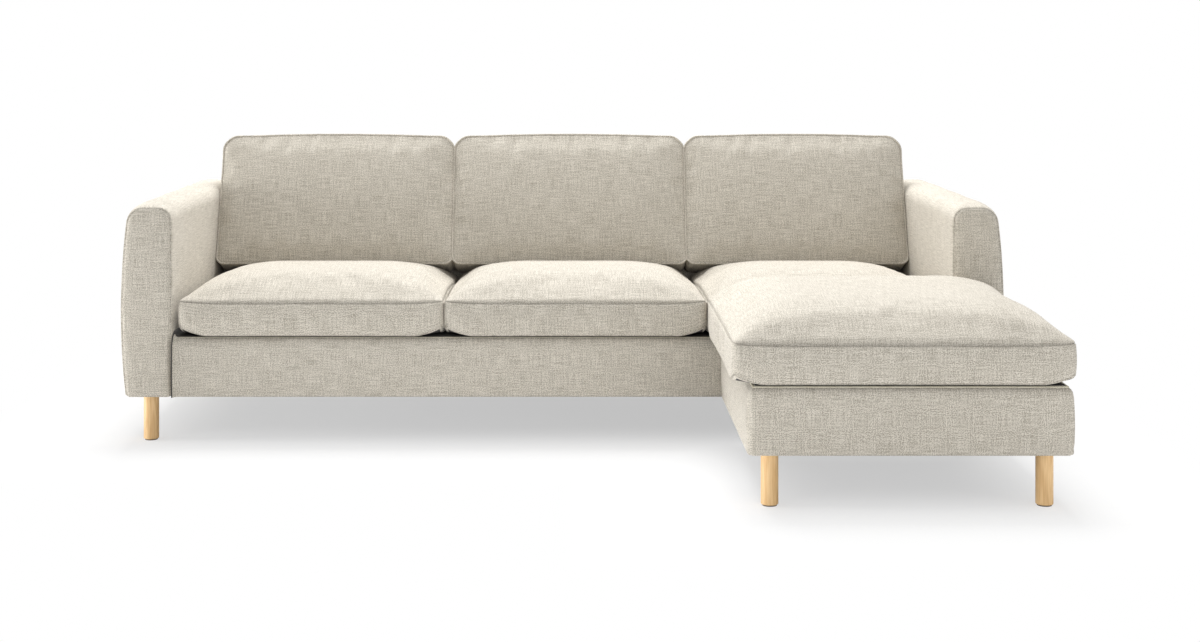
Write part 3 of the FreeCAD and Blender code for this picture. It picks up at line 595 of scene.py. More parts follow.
class SOFA_OT_finishes(bpy.types.Operator):
    """Make the shared finishes and put them on the legs, the frame and the fittings"""
    bl_idname = "sofa.finishes"
    bl_label = "Finishes"

    def execute(self, context):
        woven_group()
        timber_group()
        mottled_group()
        cover_cloth(context.scene.sofa_cloth)
        for name, (nodes, group, inputs, surface) in frame_finishes.items():
            material = finish_material(name, group, inputs, **surface)
            for node in nodes:
                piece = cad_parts[node]
                piece.data.materials.clear()
                piece.data.materials.append(material)
        return {"FINISHED"}


# Cushions

class Cushion:
    """A boxed cushion: a crowned face, an upright band and an underside.

    Its own directions are across, along and up from what it lies on.
    """

    # ear_reach: how far from a corner the upper seam rises. margins: rows of points beside a seam.
    # seam_holds: how firmly the simulation pins a panel's edge. swell_shares: how much of the
    # simulated shift a panel takes. lays: where a panel lies in the weave. crease_spare and
    # crease_tuck: how far above the crease the top may reach, and from how far in front of it.
    # lined_from: rows of cloth at the edge of a lined underside.
    ear_reach = 0.13
    margins = (0.0014, 0.0042, 0.009, 0.017)
    seam_holds = {"top": 0.85, "under": 0.95}
    swell_shares = {"top": 1.0, "band": 1.0, "under": 0.1}
    lays = {"top": (0.0, 0.0), "band": (0.0, -0.4), "under": (1.3, 0.7)}
    crease_spare = 0.002
    crease_tuck = 0.03
    lined_from = 3

    def __init__(self, width, length, shape, settings):
        self.width = width
        self.length = length
        self.shape = shape
        self.settings = settings

    def dome(self, across, along, reach, power):
        """0 at the edges and 1 in the middle, with a reach for the sides, the far edge and the near one."""
        beside, far, near = reach
        edges = [(across, beside), (self.width - across, beside), (along, near)]
        if far:
            edges.append((self.length - along, far))
        height = 1.0
        for distance, run in edges:
            height = height * soft_edge(distance, run, power)
        return height

    def plan(self, across, along):
        """The cushion seen from above, with round corners and sides that pull in between them."""
        shape = self.shape
        x, y = round_corners(across, along, self.width, self.length, shape["corner"])
        pull = self.settings.pull_in * shape["pull"]
        bow_x = 4 * across / self.width * (1 - across / self.width)
        bow_y = 4 * along / self.length * (1 - along / self.length)
        x = x + pull * bow_y * (1 - 2 * x / self.width)
        y = y + pull * bow_x * (1 - 2 * y / self.length)
        inset = shape["inset"]
        x = inset + x * (1 - 2 * inset / self.width)
        y = inset + y * (1 - 2 * inset / self.length)
        return x, y - shape["droop"] * (1 - bow_x) * y / self.length

    def top(self, across, along):
        """Height of the crowned face, which lies below the back cushion where it has a crease."""
        shape = self.shape
        ears = near_corner(across, along, self.width, self.length, self.ear_reach)
        seam = shape["seam"] + self.settings.ear_lift * (ears - 0.5)
        height = seam + shape["crown"] * self.dome(
            across, along, shape["reach"], shape["power"])
        start, drop = shape["fall"]
        height -= drop * np.clip((along - start) / (self.length - start), 0, 1) ** 1.5
        if "crease" in shape:
            place, level, slope = shape["crease"]
            limit = level - (along - place) * slope
            blend = shape["crease_blend"]
            gap = np.clip(0.5 + 0.5 * (limit - height) / blend, 0, 1)
            height = limit * (1 - gap) + height * gap - blend * gap * (1 - gap)
        return height

    def underside(self, across, along):
        """Height of the underside, which rises towards its seam and its corners."""
        shape = self.shape
        ears = near_corner(across, along, self.width, self.length, shape["low_ear_reach"], 1.4)
        seam = shape["low_seam"] + shape["low_ear"] * ears
        heel = shape["heel"]
        dome = self.dome(across, along, (heel, heel, heel), 0.5)
        return np.maximum(seam * (1 - dome) + shape["base"] * dome, shape["base"])

    def panels(self, step, margins):
        """Top, band and underside as grids of points in the cushion's own directions."""
        a = spaced(self.width, step, margins)
        b = spaced(self.length, step, margins)
        across, along = np.meshgrid(a, b, indexing="ij")
        x, y = self.plan(across, along)
        top = np.stack([x, y, self.top(across, along)], -1)
        under = np.stack([x, y, self.underside(across, along)], -1)
        high = border(top)
        low = border(under)
        away = outward(high)
        run = border_lengths(a, b)
        tall = float(np.mean(high[:, 2] - low[:, 2]))
        rise = spaced(tall, step, margins) / tall
        t = rise[None, :, None]
        band = high[:, None] * (1 - t) + low[:, None] * t
        puff = self.shape["band_puff"] * np.sin(math.pi * np.clip(rise, 0, 1)) ** 0.8
        facing = np.clip(-away[:, 1:2], 0, 1) * self.shape["front_puff"]
        band[:, :, 0] += away[:, 0:1] * puff[None, :]
        band[:, :, 1] += away[:, 1:2] * (puff[None, :] + facing * np.sin(math.pi * rise)[None, :])
        return {
            "top": (top, (a, b)),
            "band": (band, (run, rise * tall)),
            "under": (under, (a, b)),
        }

    def swollen(self, name):
        """How far the cloth simulation moves each coarse point, panel by panel."""
        settings = self.settings
        panels = self.panels(settings.cloth_step, ())
        work = Patchwork()
        for points, lay in panels.values():
            work.panel(points, grid_of(*lay))
        points, _, where = work.sewn()
        mesh = work.mesh(name + "_cloth")
        cloth = bpy.data.objects.new(name + "_cloth", mesh)
        bpy.context.scene.collection.objects.link(cloth)
        group = cloth.vertex_groups.new(name="seams")
        start = 0
        for key, (grid, _) in panels.items():
            size = grid.shape[0] * grid.shape[1]
            if key in self.seam_holds:
                edge = np.unique(border(where[start:start + size].reshape(grid.shape[:2])))
                group.add([int(i) for i in edge], self.seam_holds[key], "REPLACE")
            start += size
        modifier = cloth.modifiers.new("Cloth", "CLOTH")
        kit = modifier.settings
        kit.quality = 6
        kit.mass = 0.4
        kit.tension_stiffness = 30
        kit.compression_stiffness = 12
        kit.shear_stiffness = 12
        kit.bending_stiffness = 1.0
        kit.vertex_group_mass = "seams"
        kit.pin_stiffness = 1.0
        kit.use_pressure = True
        kit.uniform_pressure_force = settings.pressure
        kit.shrink_min = -0.012
        kit.effector_weights.gravity = 0
        modifier.collision_settings.use_collision = False
        modifier.point_cache.frame_start = 1
        modifier.point_cache.frame_end = settings.frames
        scene = bpy.context.scene
        for step in range(1, settings.frames + 1):
            scene.frame_set(step)
        depsgraph = bpy.context.evaluated_depsgraph_get()
        result = cloth.evaluated_get(depsgraph).to_mesh()
        moved = np.zeros(len(points) * 3, np.float32)
        result.vertices.foreach_get("co", moved)
        scene.frame_set(1)
        bpy.data.objects.remove(cloth)
        bpy.data.meshes.remove(mesh)
        shift = moved.reshape(-1, 3) - points
        size = np.linalg.norm(shift, axis=1, keepdims=True)
        shift *= np.minimum(1, settings.most_swell / np.maximum(size, 1e-9))
        shifts, start = {}, 0
        for key, (grid, lay) in panels.items():
            size = grid.shape[0] * grid.shape[1]
            shifts[key] = (shift[where[start:start + size]].reshape(grid.shape), lay)
            start += size
        return shifts

    def finished(self, name):
        """The fine panels with the simulated swelling, and the row of points at the upper seam."""
        panels = self.panels(self.settings.fine_step, self.margins)
        shifts = self.swollen(name)
        for key, (grid, (a, b)) in panels.items():
            shift, (old_a, old_b) = shifts[key]
            shift = shift * self.swell_shares[key]
            finer = bent_between(shift, old_a, np.clip(a, 0, old_a[-1]))
            scaled = b * old_b[-1] / b[-1]
            grid += bent_between(finer.swapaxes(0, 1), old_b, scaled).swapaxes(0, 1)
        self.close(panels)
        self.hold(panels)
        return panels

    def close(self, panels):
        """Gives the band's edges the same points as the panels that it is sewn to."""
        panels["band"][0][:, 0] = border(panels["top"][0])
        panels["band"][0][:, -1] = border(panels["under"][0])

    def hold(self, panels):
        """Keeps the cushion clear of its neighbours and of what it lies on."""
        spare = self.shape["spare"]
        for grid, _ in panels.values():
            grid[..., 0] = np.clip(grid[..., 0], -spare[0], self.width + spare[1])
            grid[..., 1] = np.clip(grid[..., 1], -spare[2], self.length + spare[3])
            grid[..., 2] = np.maximum(grid[..., 2], self.shape["base"])
            if "crease" in self.shape:
                place, level, slope = self.shape["crease"]
                limit = level + self.crease_spare - (grid[..., 1] - place) * slope
                behind = grid[..., 1] > place - self.crease_tuck
                grid[..., 2] = np.where(behind, np.minimum(grid[..., 2], limit), grid[..., 2])

    def seam_sink(self, panel, key):
        """How deep each point of a panel lies because of the seams at its edges."""
        rows, columns = np.ogrid[:panel.shape[0], :panel.shape[1]]
        ring = np.minimum(columns, panel.shape[1] - 1 - columns)
        if key != "band":
            ring = np.minimum(ring, np.minimum(rows, panel.shape[0] - 1 - rows))
        levels = np.array([-self.settings.seam_groove, 0.0, 0.0006, 0.0003, 0.0])
        return levels[np.minimum(ring, 4)]

    def painted_seam_shade(self, panel, key):
        """Marks the faces that lie in the fold of a seam, which get a darker cloth as painted shade."""
        rows, columns = np.ogrid[:panel.shape[0] - 1, :panel.shape[1] - 1]
        ring = np.minimum(columns, panel.shape[1] - 2 - columns)
        if key != "band":
            ring = np.minimum(ring, np.minimum(rows, panel.shape[0] - 2 - rows))
        # Faces in a seam's fold get finish 1, the darker cloth that is painted shade
        finish = (ring < self.shape["painted_shade_rings"]).astype(int)
        if key == "under" and self.shape["lined"]:
            finish[ring >= self.lined_from] = 2
        return finish

    def sew(self, name, place):
        """All panels in their place in the room, in one patchwork."""
        panels = self.finished(name)
        work = Patchwork()
        for key, (points, lay) in panels.items():
            flat = grid_of(*lay) if key == "band" else cloth_lengths(points)
            work.panel(
                place(points), flat + self.lays[key] + self.shape["lay"],
                self.seam_sink(points, key), self.painted_seam_shade(points, key))
        self.seam_row = border(panels["top"][0])
        return work


def box_of(node):
    low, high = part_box(node)
    return np.array(low), np.array(high)


# A cushion's shape, in metres, with what is near first where a value has two or three parts.
# corner: radii of the near and far corners. inset: how far the cover stays inside its box.
# pull: share of the setting for pull in. droop: how much lower the far corners are.
# seam, low_seam: heights of the two seams. low_ear, low_ear_reach: rise at the lower corners.
# crown: height of the crown, whose reach is for the sides, the far edge and the near edge.
# power: how square the crown is. fall: where the top starts to fall, and how far it falls.
# heel: how far from its edge the underside lies flat. base: the gap under it.
# band_puff, front_puff: how far the band stands out. painted_shade_rings: rows of faces in a seam's fold
# with painted shade.
# lined: whether the underside is of lining. spare: room past the left, right, near and far edges.
# crease, where there is one: its place, its height and the slope behind it, and crease_blend.
seat_shape = {
    "corner": (0.018, 0.018), "inset": 0.0015, "pull": 1.0, "droop": 0.0, "seam": 0.0925,
    "crown": 0.066, "reach": (0.22, 0.0, 0.19), "power": 0.56, "fall": (0.20, 0.035),
    "low_seam": 0.004, "low_ear": 0.028, "low_ear_reach": 0.075, "heel": 0.10, "base": 0.0006,
    "band_puff": 0.0025, "front_puff": 0.005, "crease_blend": 0.02, "painted_shade_rings": 1, "lined": True,
    "spare": (0.0, 0.0, 0.008, 0.0),
}


seat_spares = {
    "left_seat": (0.004, 0.0, 0.008, 0.0),
    "middle_seat": (0.0, 0.0, 0.008, 0.0),
    "right_seat": (0.0, 0.004, 0.0, 0.0),
}


class SOFA_OT_seat_cushions(bpy.types.Operator):
    """Make the three seat cushions and the long chaise cushion"""
    bl_idname = "sofa.seat_cushions"
    bl_label = "Seat cushions"

    def execute(self, context):
        settings = context.scene.sofa_cushions
        cloth = cover_finishes(context.scene.sofa_cloth)
        deck = box_of("base_cover")[1][2]
        crease = (0.588, 0.125, math.tan(math.radians(back_lean)))
        for number, name in enumerate(("left_seat", "middle_seat", "right_seat", "chaise_seat")):
            node = ("chaise" if name == "chaise_seat" else name) + "_cushion"
            low, high = box_of(node + "_cover")
            width, length = high[0] - low[0], high[1] - low[1]
            shape = dict(seat_shape, lay=np.array([0.37 * number, 0.21 * number]))
            if name == "chaise_seat":
                shape.update(
                    seam=0.0965, crown=0.080, reach=(0.20, 0.10, 0.22), power=0.52, fall=(0.5, 0.0),
                    low_seam=0.006, low_ear=0.022, spare=(0.0, 0.006, 0.008, 0.0))
            else:
                shape.update(crease=crease, spare=seat_spares[name])
            if name == "right_seat":
                shape["front_puff"] = 0.0
            cushion = Cushion(width, length, shape, settings)
            start = np.array([low[0], low[1], deck])
            work = cushion.sew(name, lambda points: points + start)
            work.piece(
                node, name, cloth, "cushion_fabric",
                (node + "_cover", node + "_core"), fill=0.8)
        return {"FINISHED"}


back_shape = {
    "corner": (0.020, 0.045), "inset": 0.002, "pull": -0.6, "droop": 0.009, "seam": 0.139,
    "crown": 0.024, "reach": (0.20, 0.204, 0.204), "power": 0.62, "fall": (0.2, 0.0),
    "low_seam": 0.006, "low_ear": 0.004, "low_ear_reach": 0.08, "heel": 0.02, "base": 0.0006,
    "band_puff": 0.003, "front_puff": 0.0, "painted_shade_rings": 1, "lined": False,
    "spare": (0.0, 0.0, 0.0, 0.004),
}


class SOFA_OT_back_cushions(bpy.types.Operator):
    """Make the three piped back cushions"""
    bl_idname = "sofa.back_cushions"
    bl_label = "Back cushions"

    def execute(self, context):
        settings = context.scene.sofa_cushions
        cloth = cover_finishes(context.scene.sofa_cloth)
        lean = math.radians(back_lean)
        right = np.array([1.0, 0.0, 0.0])
        up = np.array([0.0, math.sin(lean), math.cos(lean)])
        forward = np.array([0.0, -math.cos(lean), math.sin(lean)])
        foot_gap = 0.0004
        for number, name in enumerate(("left_back", "middle_back", "right_back")):
            node = name + "_cushion"
            low, high = box_of(node + "_cover")
            width = high[0] - low[0]
            shape = dict(back_shape, lay=np.array([0.29 * number + 3, 0.17 * number]))
            cushion = Cushion(width, back_height, shape, settings)

            def place(points):
                return (
                    np.array(back_foot) + low[0] * right + points[..., 0:1] * right
                    + (points[..., 1:2] + foot_gap) * up + points[..., 2:3] * forward)

            work = cushion.sew(name, place)
            row = place(cushion.seam_row)
            away = outward(cushion.seam_row)
            out = away[:, 0:1] * right + away[:, 1:2] * up
            raised = row + out * settings.piping * 0.2 + forward * settings.piping * 0.5
            across = np.broadcast_to(forward, out.shape)
            tube(work, raised, settings.piping, 8, (out, across))
            work.piece(
                node, name, cloth, "cushion_fabric",
                (node + "_cover", node + "_core"), fill=0.85)
        return {"FINISHED"}


# Fixed upholstery

def along_outline(points, count):
    """A row of points spread evenly by length along a row of given points."""
    run = run_along(points)
    wanted = np.linspace(0, run[-1], count)
    return np.stack([np.interp(wanted, run, points[:, i]) for i in range(points.shape[1])], -1)


def arc_points(centre, radius, start, end, count=24):
    """Points along an arc between two angles in degrees."""
    angles = np.radians(np.linspace(start, end, count))
    return np.stack([centre[0] + radius * np.cos(angles), centre[1] + radius * np.sin(angles)], -1)


def arm_outline():
    """The right arm seen from the front: its inner half and its outer half, each from foot to top."""
    belly, draw, round_out, round_in = 0.235, 0.013, 0.048, 0.038
    round_foot, round_inner_foot = 0.008, 0.006
    long_radius = (belly ** 2 + draw ** 2) / (2 * draw)
    centre = (arm_outer - long_radius, leg_height + belly)

    def touching(radius, z):
        """Centre of a small arc at a height that runs into the long one, and the angle where it does."""
        rise = z - centre[1]
        reach = math.sqrt((long_radius - radius) ** 2 - rise ** 2)
        return (centre[0] + reach, z), math.degrees(math.atan2(rise, reach))

    head, head_angle = touching(round_out, arm_top - round_out)
    foot, foot_angle = touching(round_foot, leg_height + round_foot)
    crest = ((arm_inner + round_in + head[0]) / 2, arm_top)
    inner_foot = (arm_inner + round_inner_foot, leg_height + round_inner_foot)
    inside = np.concatenate([
        arc_points(inner_foot, round_inner_foot, 270, 180, 8),
        arc_points((arm_inner + round_in, arm_top - round_in), round_in, 180, 90), [crest]])
    outside = np.concatenate([
        arc_points(foot, round_foot, 270, 360 + foot_angle, 10),
        arc_points(centre, long_radius, foot_angle, head_angle, 60)[1:],
        arc_points(head, round_out, head_angle, 90)[1:], [crest]])
    return inside, outside


class SOFA_OT_arms(bpy.types.Operator):
    """Make the padded arms"""
    bl_idname = "sofa.arms"
    bl_label = "Arms"

    # outline_count: points on each half of the outline. seam_back: how far in from the arm's ends
    # its seams lie. seam_depth: how deep they are. margins: rows of points beside a seam.
    # outer_half: where the outer side starts. end_bulge: how far an end panel stands out.
    # end_shares: where the points lie across an end panel.
    outline_count = 64
    seam_back = 0.0045
    seam_depth = 0.0025
    margins = (0.0016, 0.0045, 0.009, 0.016, 0.026, 0.04)
    outer_half = 1.1
    end_bulge = 0.0062
    end_shares = (0, .03, .08, .14, .22, .32, .42, .5, .58, .68, .78, .86, .92, .97, 1)

    def execute(self, context):
        settings = context.scene.sofa_upholstery
        cloth = cover_finishes(context.scene.sofa_cloth)
        low, high = box_of("right_arm_cover")
        inside, outside = (along_outline(side, self.outline_count) for side in arm_outline())
        outline = np.concatenate([inside, outside[-2::-1]])
        step = np.gradient(outline, axis=0)
        normal = unit_rows(np.stack([-step[:, 1], step[:, 0]], -1))
        length = high[1] - low[1] - 2 * self.seam_back
        places = spaced(length, 0.014, self.margins)
        from_end = np.minimum(places, length - places)
        rounding = settings.arm_end_round * (1 - soft_edge(from_end, 0.024))
        dip = settings.arm_top_drop * (1 - soft_edge(from_end, 0.11, 0.6))
        upward = np.clip(normal[:, 1], 0, 1) ** 0.7
        inward = rounding[None, :] + upward[:, None] * dip[None, :]
        swell = self.swell(outline, places, length, settings.face_swell)
        wrap = np.zeros((len(outline), len(places), 3))
        wrap[..., 0] = outline[:, None, 0] + normal[:, None, 0] * (swell - inward)
        wrap[..., 1] = low[1] + self.seam_back + places[None, :]
        wrap[..., 2] = np.maximum(
            outline[:, None, 1] + normal[:, None, 1] * (swell - inward), low[2])
        sink = np.zeros(wrap.shape[:2])
        sink[:, [0, -1]] = -self.seam_depth
        sink[:, [2, -3]] = 0.0005
        lay = grid_of(run_along(outline), places)
        # The wrap's first and last strips, in the seams' folds, get the darker cloth: painted shade
        fold = np.zeros(len(places) - 1, int)
        fold[[0, -1]] = 1
        for side in (-1, 1):
            work = Patchwork()
            turned = np.array([side, 1.0, 1.0])
            work.panel(wrap * turned, lay + [5 + side, 2], sink, fold)
            rows = []
            for end, way in ((0, -1), (-1, 1)):
                face, flat = self.end_panel(wrap[:, end], way)
                edge = np.zeros(face.shape[:2])
                edge[:, [0, -1]] = -self.seam_depth
                edge[-1] = -self.seam_depth
                work.panel(face * turned, flat + [6 + side, 4 + way], edge)
                rows.append(face[0])
            loop = np.concatenate([
                rows[0][::-1][:-1], wrap[0, :], rows[1][1:], wrap[-1, ::-1][1:]])
            hem_under(work, loop, settings.hem, low[2], turned)
            name = "left" if side < 0 else "right"
            work.piece(
                name + "_arm", "sofa", cloth, "sofa_fabric",
                (name + "_arm_cover", name + "_arm_padding"), fill=firm)
        return {"FINISHED"}

    def swell(self, outline, places, length, most):
        """How far the padding stands out over the length of the arm, and a slow unevenness."""
        height = outline[:, None, 1]
        along = np.minimum(places, length - places)[None, :]
        middle = soft_edge(along, 0.25) * soft_edge(height - leg_height, 0.12)
        wave = 0.0007 * np.sin(places[None, :] * 23 + height * 9) * np.sin(height * 31 + 1)
        return (most * 0.3 * middle + wave * middle) * (outline[:, None, 0] > self.outer_half)

    def end_panel(self, edge, way):
        """The front or rear panel, filled in rows from the inner edge to the outer one."""
        count = self.outline_count
        inner, outer = edge[:count], edge[count - 1:][::-1]
        share = np.array(self.end_shares)
        face = inner[:, None] * (1 - share)[None, :, None] + outer[:, None] * share[None, :, None]
        wide = np.linalg.norm(outer - inner, axis=1)[:, None]
        side = np.minimum(share, 1 - share)[None, :] * wide
        above = (inner[-1, 2] - face[..., 2])
        bulge = soft_edge(side, 0.035) * soft_edge(above, 0.06) * soft_edge(
            face[..., 2] - edge[0, 2] + 0.004, 0.03)
        face[..., 1] += way * self.end_bulge * bulge
        return face, face[..., [0, 2]]


def hem_under(work, loop, width, level, turned=(1.0, 1.0, 1.0)):
    """Turns the cloth under the frame from a closed row of points."""
    low, high = loop[:, :2].min(0), loop[:, :2].max(0)
    rows = [loop]
    for inset, rise in ((0.004, 0.0), (width, 0.0), (width + 0.0005, hem_fold)):
        row = loop.copy()
        row[:, :2] = np.clip(loop[:, :2], low + inset, high - inset)
        row[:, 2] = level + rise
        rows.append(row)
    rows = np.stack(rows, 1) * np.asarray(turned)
    work.panel(rows, rows[..., :2])


def section_loft(path, widths, end_flare):
    """A closed section in y and z drawn out along x, which flares outward a little at both ends."""
    gap = np.minimum(widths - widths[0], widths[-1] - widths)
    step = np.roll(path, -1, 0) - np.roll(path, 1, 0)
    inward = unit_rows(np.stack([step[:, 1], -step[:, 0]], -1))
    flare = end_flare * (1 - soft_edge(gap, 1.2 * end_flare))
    points = np.zeros((len(path) + 1, len(widths), 3))
    closed = np.concatenate([path, path[:1]])
    inward = np.concatenate([inward, inward[:1]])
    points[..., 0] = widths[None, :]
    points[..., 1] = closed[:, None, 0] - inward[:, None, 0] * flare[None, :]
    points[..., 2] = closed[:, None, 1] - inward[:, None, 1] * flare[None, :]
    return points, grid_of(run_along(closed), widths)[..., ::-1]


def cover_widths(low, high):
    """Places across a cover, close together near both ends."""
    return low[0] + spaced(high[0] - low[0], 0.02, (0.002, 0.006, 0.012, 0.02))


def close_ends(work, points):
    """A flat face at each end of a section that was drawn out."""
    for end in (0, -1):
        edge = points[:-1, end]
        work.cap(edge, edge[:, 1:])


def stitched(distance, width):
    """1 on a line of stitches, falling away on both sides of it."""
    return np.exp(-(distance / width) ** 2)


def finer_path(path, step):
    """More points on the long straight runs of a closed path."""
    points = []
    for start, end in zip(path, np.roll(path, -1, 0)):
        count = max(1, int(np.linalg.norm(end - start) / step))
        points.extend(start + (end - start) * i / count for i in range(count))
    return np.array(points)


class SOFA_OT_base(bpy.types.Operator):
    """Make the cover of the base between the arms, with the deck under the seat cushions"""
    bl_idname = "sofa.base"
    bl_label = "Base"

    # lined_from: where the lining starts. deck_seam: where the deck's cloth is sewn to the front's.
    # sag_from and sag_to: the stretch of the deck that gives. All are measured from the front.
    lined_from = 0.018
    deck_seam = 0.14
    sag_from = 0.03
    sag_to = 0.707
    spring_pitch = 0.15
    most_sag = 0.0009
    ripple = 0.0003

    def execute(self, context):
        settings = context.scene.sofa_upholstery
        cloth = cover_finishes(context.scene.sofa_cloth)
        low, high = box_of("base_cover")
        radius, foot, wall = 0.030, 0.007, 0.002
        front, deck, bottom, rear = low[1], high[2], low[2], high[1]
        hem_y = front + settings.hem
        outer = np.concatenate([
            [(hem_y, bottom)],
            arc_points((front + foot, bottom + foot), foot, 270, 180, 8),
            arc_points((front + radius, deck - radius), radius, 180, 90, 12), [(rear, deck)]])
        inner = np.concatenate([
            [(rear, deck - wall)],
            arc_points((front + radius, deck - radius), radius - wall, 90, 180, 8),
            [(front + wall, bottom + foot), (front + wall + 0.001, bottom + 0.004),
             (hem_y, bottom + hem_fold)]])
        path = finer_path(np.concatenate([outer, inner]), outline_step)
        path = self.padded_path(path, front, deck, bottom, settings.face_swell)
        points, lay = section_loft(path, cover_widths(low, high), 0.014)
        points[..., 2] = np.maximum(points[..., 2], bottom)
        self.sag(points, front, deck)
        work = Patchwork()
        middle = (points[1:, 1:] + points[:-1, :-1]) / 2
        hidden = (middle[..., 1] > front + self.lined_from) & (middle[..., 2] > deck - 0.008)
        hidden[:, [0, -1]] = True
        work.panel(
            points, lay + [9.0, 1.0], self.sinks(points, front, deck), np.where(hidden, 2, 0))
        close_ends(work, points)
        work.piece(
            "seat_base", "sofa", cloth, "sofa_fabric", ("base_cover", "base_padding"), fill=firm)
        return {"FINISHED"}

    def padded_path(self, path, front, deck, bottom, swell):
        """The front panel stands out a little between its edges."""
        path = path.copy()
        on_front = np.abs(path[:, 0] - front) < 0.001
        rise = (path[:, 1] - bottom) / (deck - bottom)
        path[:, 0] -= np.where(on_front, swell * 0.6 * np.sin(math.pi * np.clip(rise, 0, 1)), 0)
        return path

    def sag(self, points, front, deck):
        """The deck gives a little between the rails, over each spring."""
        y = points[..., 1]
        on_deck = (points[..., 2] > deck - 0.004) & (y > front + self.sag_from)
        gap = np.minimum(y - front - self.sag_from, self.sag_to - (y - front))
        wave = np.sin(points[..., 0] * 2 * math.pi / self.spring_pitch)
        dip = self.most_sag * soft_edge(gap, 0.2) + self.ripple * wave
        points[..., 2] -= np.where(on_deck, dip, 0)

    def sinks(self, points, front, deck):
        """A seam where the deck's cloth is sewn to the front's."""
        y, z = points[..., 1], points[..., 2]
        return -0.0015 * stitched(y - front - self.deck_seam, 0.003) * (z > deck - 0.01)


class SOFA_OT_fixed_back(bpy.types.Operator):
    """Make the cover of the fixed back, behind the loose cushions"""
    bl_idname = "sofa.fixed_back"
    bl_label = "Fixed back"

    # deck: height of the cover's foot at its front. inner_rear: how far from the rear its inner
    # side is. top_seam: how far the rear's seam is below the top. upright_seams: where two more are.
    deck = 0.288
    inner_rear = 0.012
    top_seam = 0.022
    upright_seams = (-0.35, 0.35)

    def execute(self, context):
        settings = context.scene.sofa_upholstery
        cloth = cover_finishes(context.scene.sofa_cloth)
        low, high = box_of("back_cover")
        slope = math.tan(math.radians(back_lean))
        front_foot = low[1]
        top, rear, bottom = high[2], high[1], low[2]
        front_round, rear_round = 0.030, 0.014
        crest = front_foot + (top - self.deck) * slope
        touch = front_round * math.tan(math.radians(90 - back_lean) / 2)
        centre = (crest + touch, top - front_round)
        rear_centre = (rear - rear_round, top - rear_round)
        foot = 0.006
        hem_y, inner_y = rear - settings.hem, rear - self.inner_rear
        path = np.concatenate([
            [(front_foot, self.deck)],
            arc_points(centre, front_round, 180 - back_lean, 90, 12),
            arc_points(rear_centre, rear_round, 90, 0, 8),
            arc_points((rear - foot, bottom + foot), foot, 0, -90, 6),
            [(hem_y, bottom), (hem_y, bottom + hem_fold),
             (inner_y, bottom + 0.005), (inner_y, self.deck)]])
        path = finer_path(path, outline_step)
        on_rear = (path[:, 0] > rear - 0.0005) & (path[:, 1] > bottom + 0.01)
        rise = np.clip((path[:, 1] - bottom) / (top - bottom), 0, 1)
        path[:, 0] += np.where(on_rear, settings.face_swell * 0.7 * np.sin(math.pi * rise), 0)
        points, lay = section_loft(path, cover_widths(low, high), 0.005)
        points[..., 2] = np.maximum(points[..., 2], bottom)
        x, y, z = points[..., 0], points[..., 1], points[..., 2]
        seam = stitched(z - top + self.top_seam, 0.003) * (y > rear - 0.004)
        upright = sum(stitched(x - place, 0.004) for place in self.upright_seams)
        upright = upright * (y > rear - 0.006)
        work = Patchwork()
        work.panel(points, lay + [12.0, 3.0], -0.0016 * np.maximum(seam, upright))
        close_ends(work, points)
        work.piece(
            "fixed_back", "sofa", cloth, "sofa_fabric", ("back_cover", "back_foam"), fill=firm)
        return {"FINISHED"}


class SOFA_OT_chaise_base(bpy.types.Operator):
    """Make the cover of the chaise's base"""
    bl_idname = "sofa.chaise_base"
    bl_label = "Chaise base"

    def execute(self, context):
        settings = context.scene.sofa_upholstery
        cloth = cover_finishes(context.scene.sofa_cloth)
        low, high = box_of("chaise_cover")
        width, length = high[0] - low[0], high[1] - low[1]
        corner, edge, foot, lined_from, hem_line = 0.017, 0.028, 0.006, 0.018, 0.013
        margins = (0.003, 0.007, 0.012, 0.019)
        a, b = spaced(width, 0.015, margins), spaced(length, 0.015, margins)
        across, along = np.meshgrid(a, b, indexing="ij")
        x, y = round_corners(across, along, width, length, (corner, corner))
        side = np.minimum(np.minimum(across, width - across), np.minimum(along, length - along))
        fall = edge * (1 - soft_edge(side, edge))
        dip = 0.001 * soft_edge(side - 0.03, 0.2)
        top = np.stack([x, y, high[2] - low[2] - fall - dip], -1)
        rim = border(top)
        away = outward(rim)
        tall = rim[:, 2].mean()
        levels = np.concatenate([
            tall - spaced(tall - foot, 0.012, (0.003, 0.008))[:-1],
            foot * (1 - np.sin(np.radians(np.linspace(0, 90, 6))))])
        drawn = np.where(levels < foot, foot - np.sqrt(
            np.maximum(foot ** 2 - (foot - levels) ** 2, 0)), 0)
        share = np.clip((levels - foot) / (tall - foot), 0, 1)
        puff = settings.face_swell * 0.6 * np.sin(math.pi * share) - drawn
        puff = np.broadcast_to(puff, (len(rim), len(levels))).copy()
        run = border_lengths(a, b)
        seams = np.zeros_like(puff)
        for place in (0.0, width, run[-1]):
            seams = np.maximum(seams, stitched(run[:, None] - place, 0.003))
        rear = away[:, 1:2] > 0.5
        puff = np.where(rear, np.minimum(puff, 0), puff)
        wall = np.zeros((len(rim), len(levels), 3))
        wall[..., :2] = rim[:, None, :2] + away[:, None] * puff[..., None]
        wall[..., 2] = levels[None, :]
        wall[:, 0] = rim
        seams = np.maximum(seams, stitched(levels - hem_line, 0.0022)[None, :])
        work = Patchwork()
        hidden = (side[1:, 1:] > lined_from) & (side[:-1, :-1] > lined_from)
        work.panel(
            top + low, cloth_lengths(top) + [15, 2], 0.0, np.where(hidden, 2, 0))
        work.panel(wall + low, grid_of(run, levels) + [15, 5], -0.0014 * seams)
        hem_under(work, wall[:, -1] + low, settings.hem, low[2])
        work.piece(
            "chaise_base", "sofa", cloth, "sofa_fabric",
            ("chaise_cover", "chaise_padding"), fill=firm)
        return {"FINISHED"}


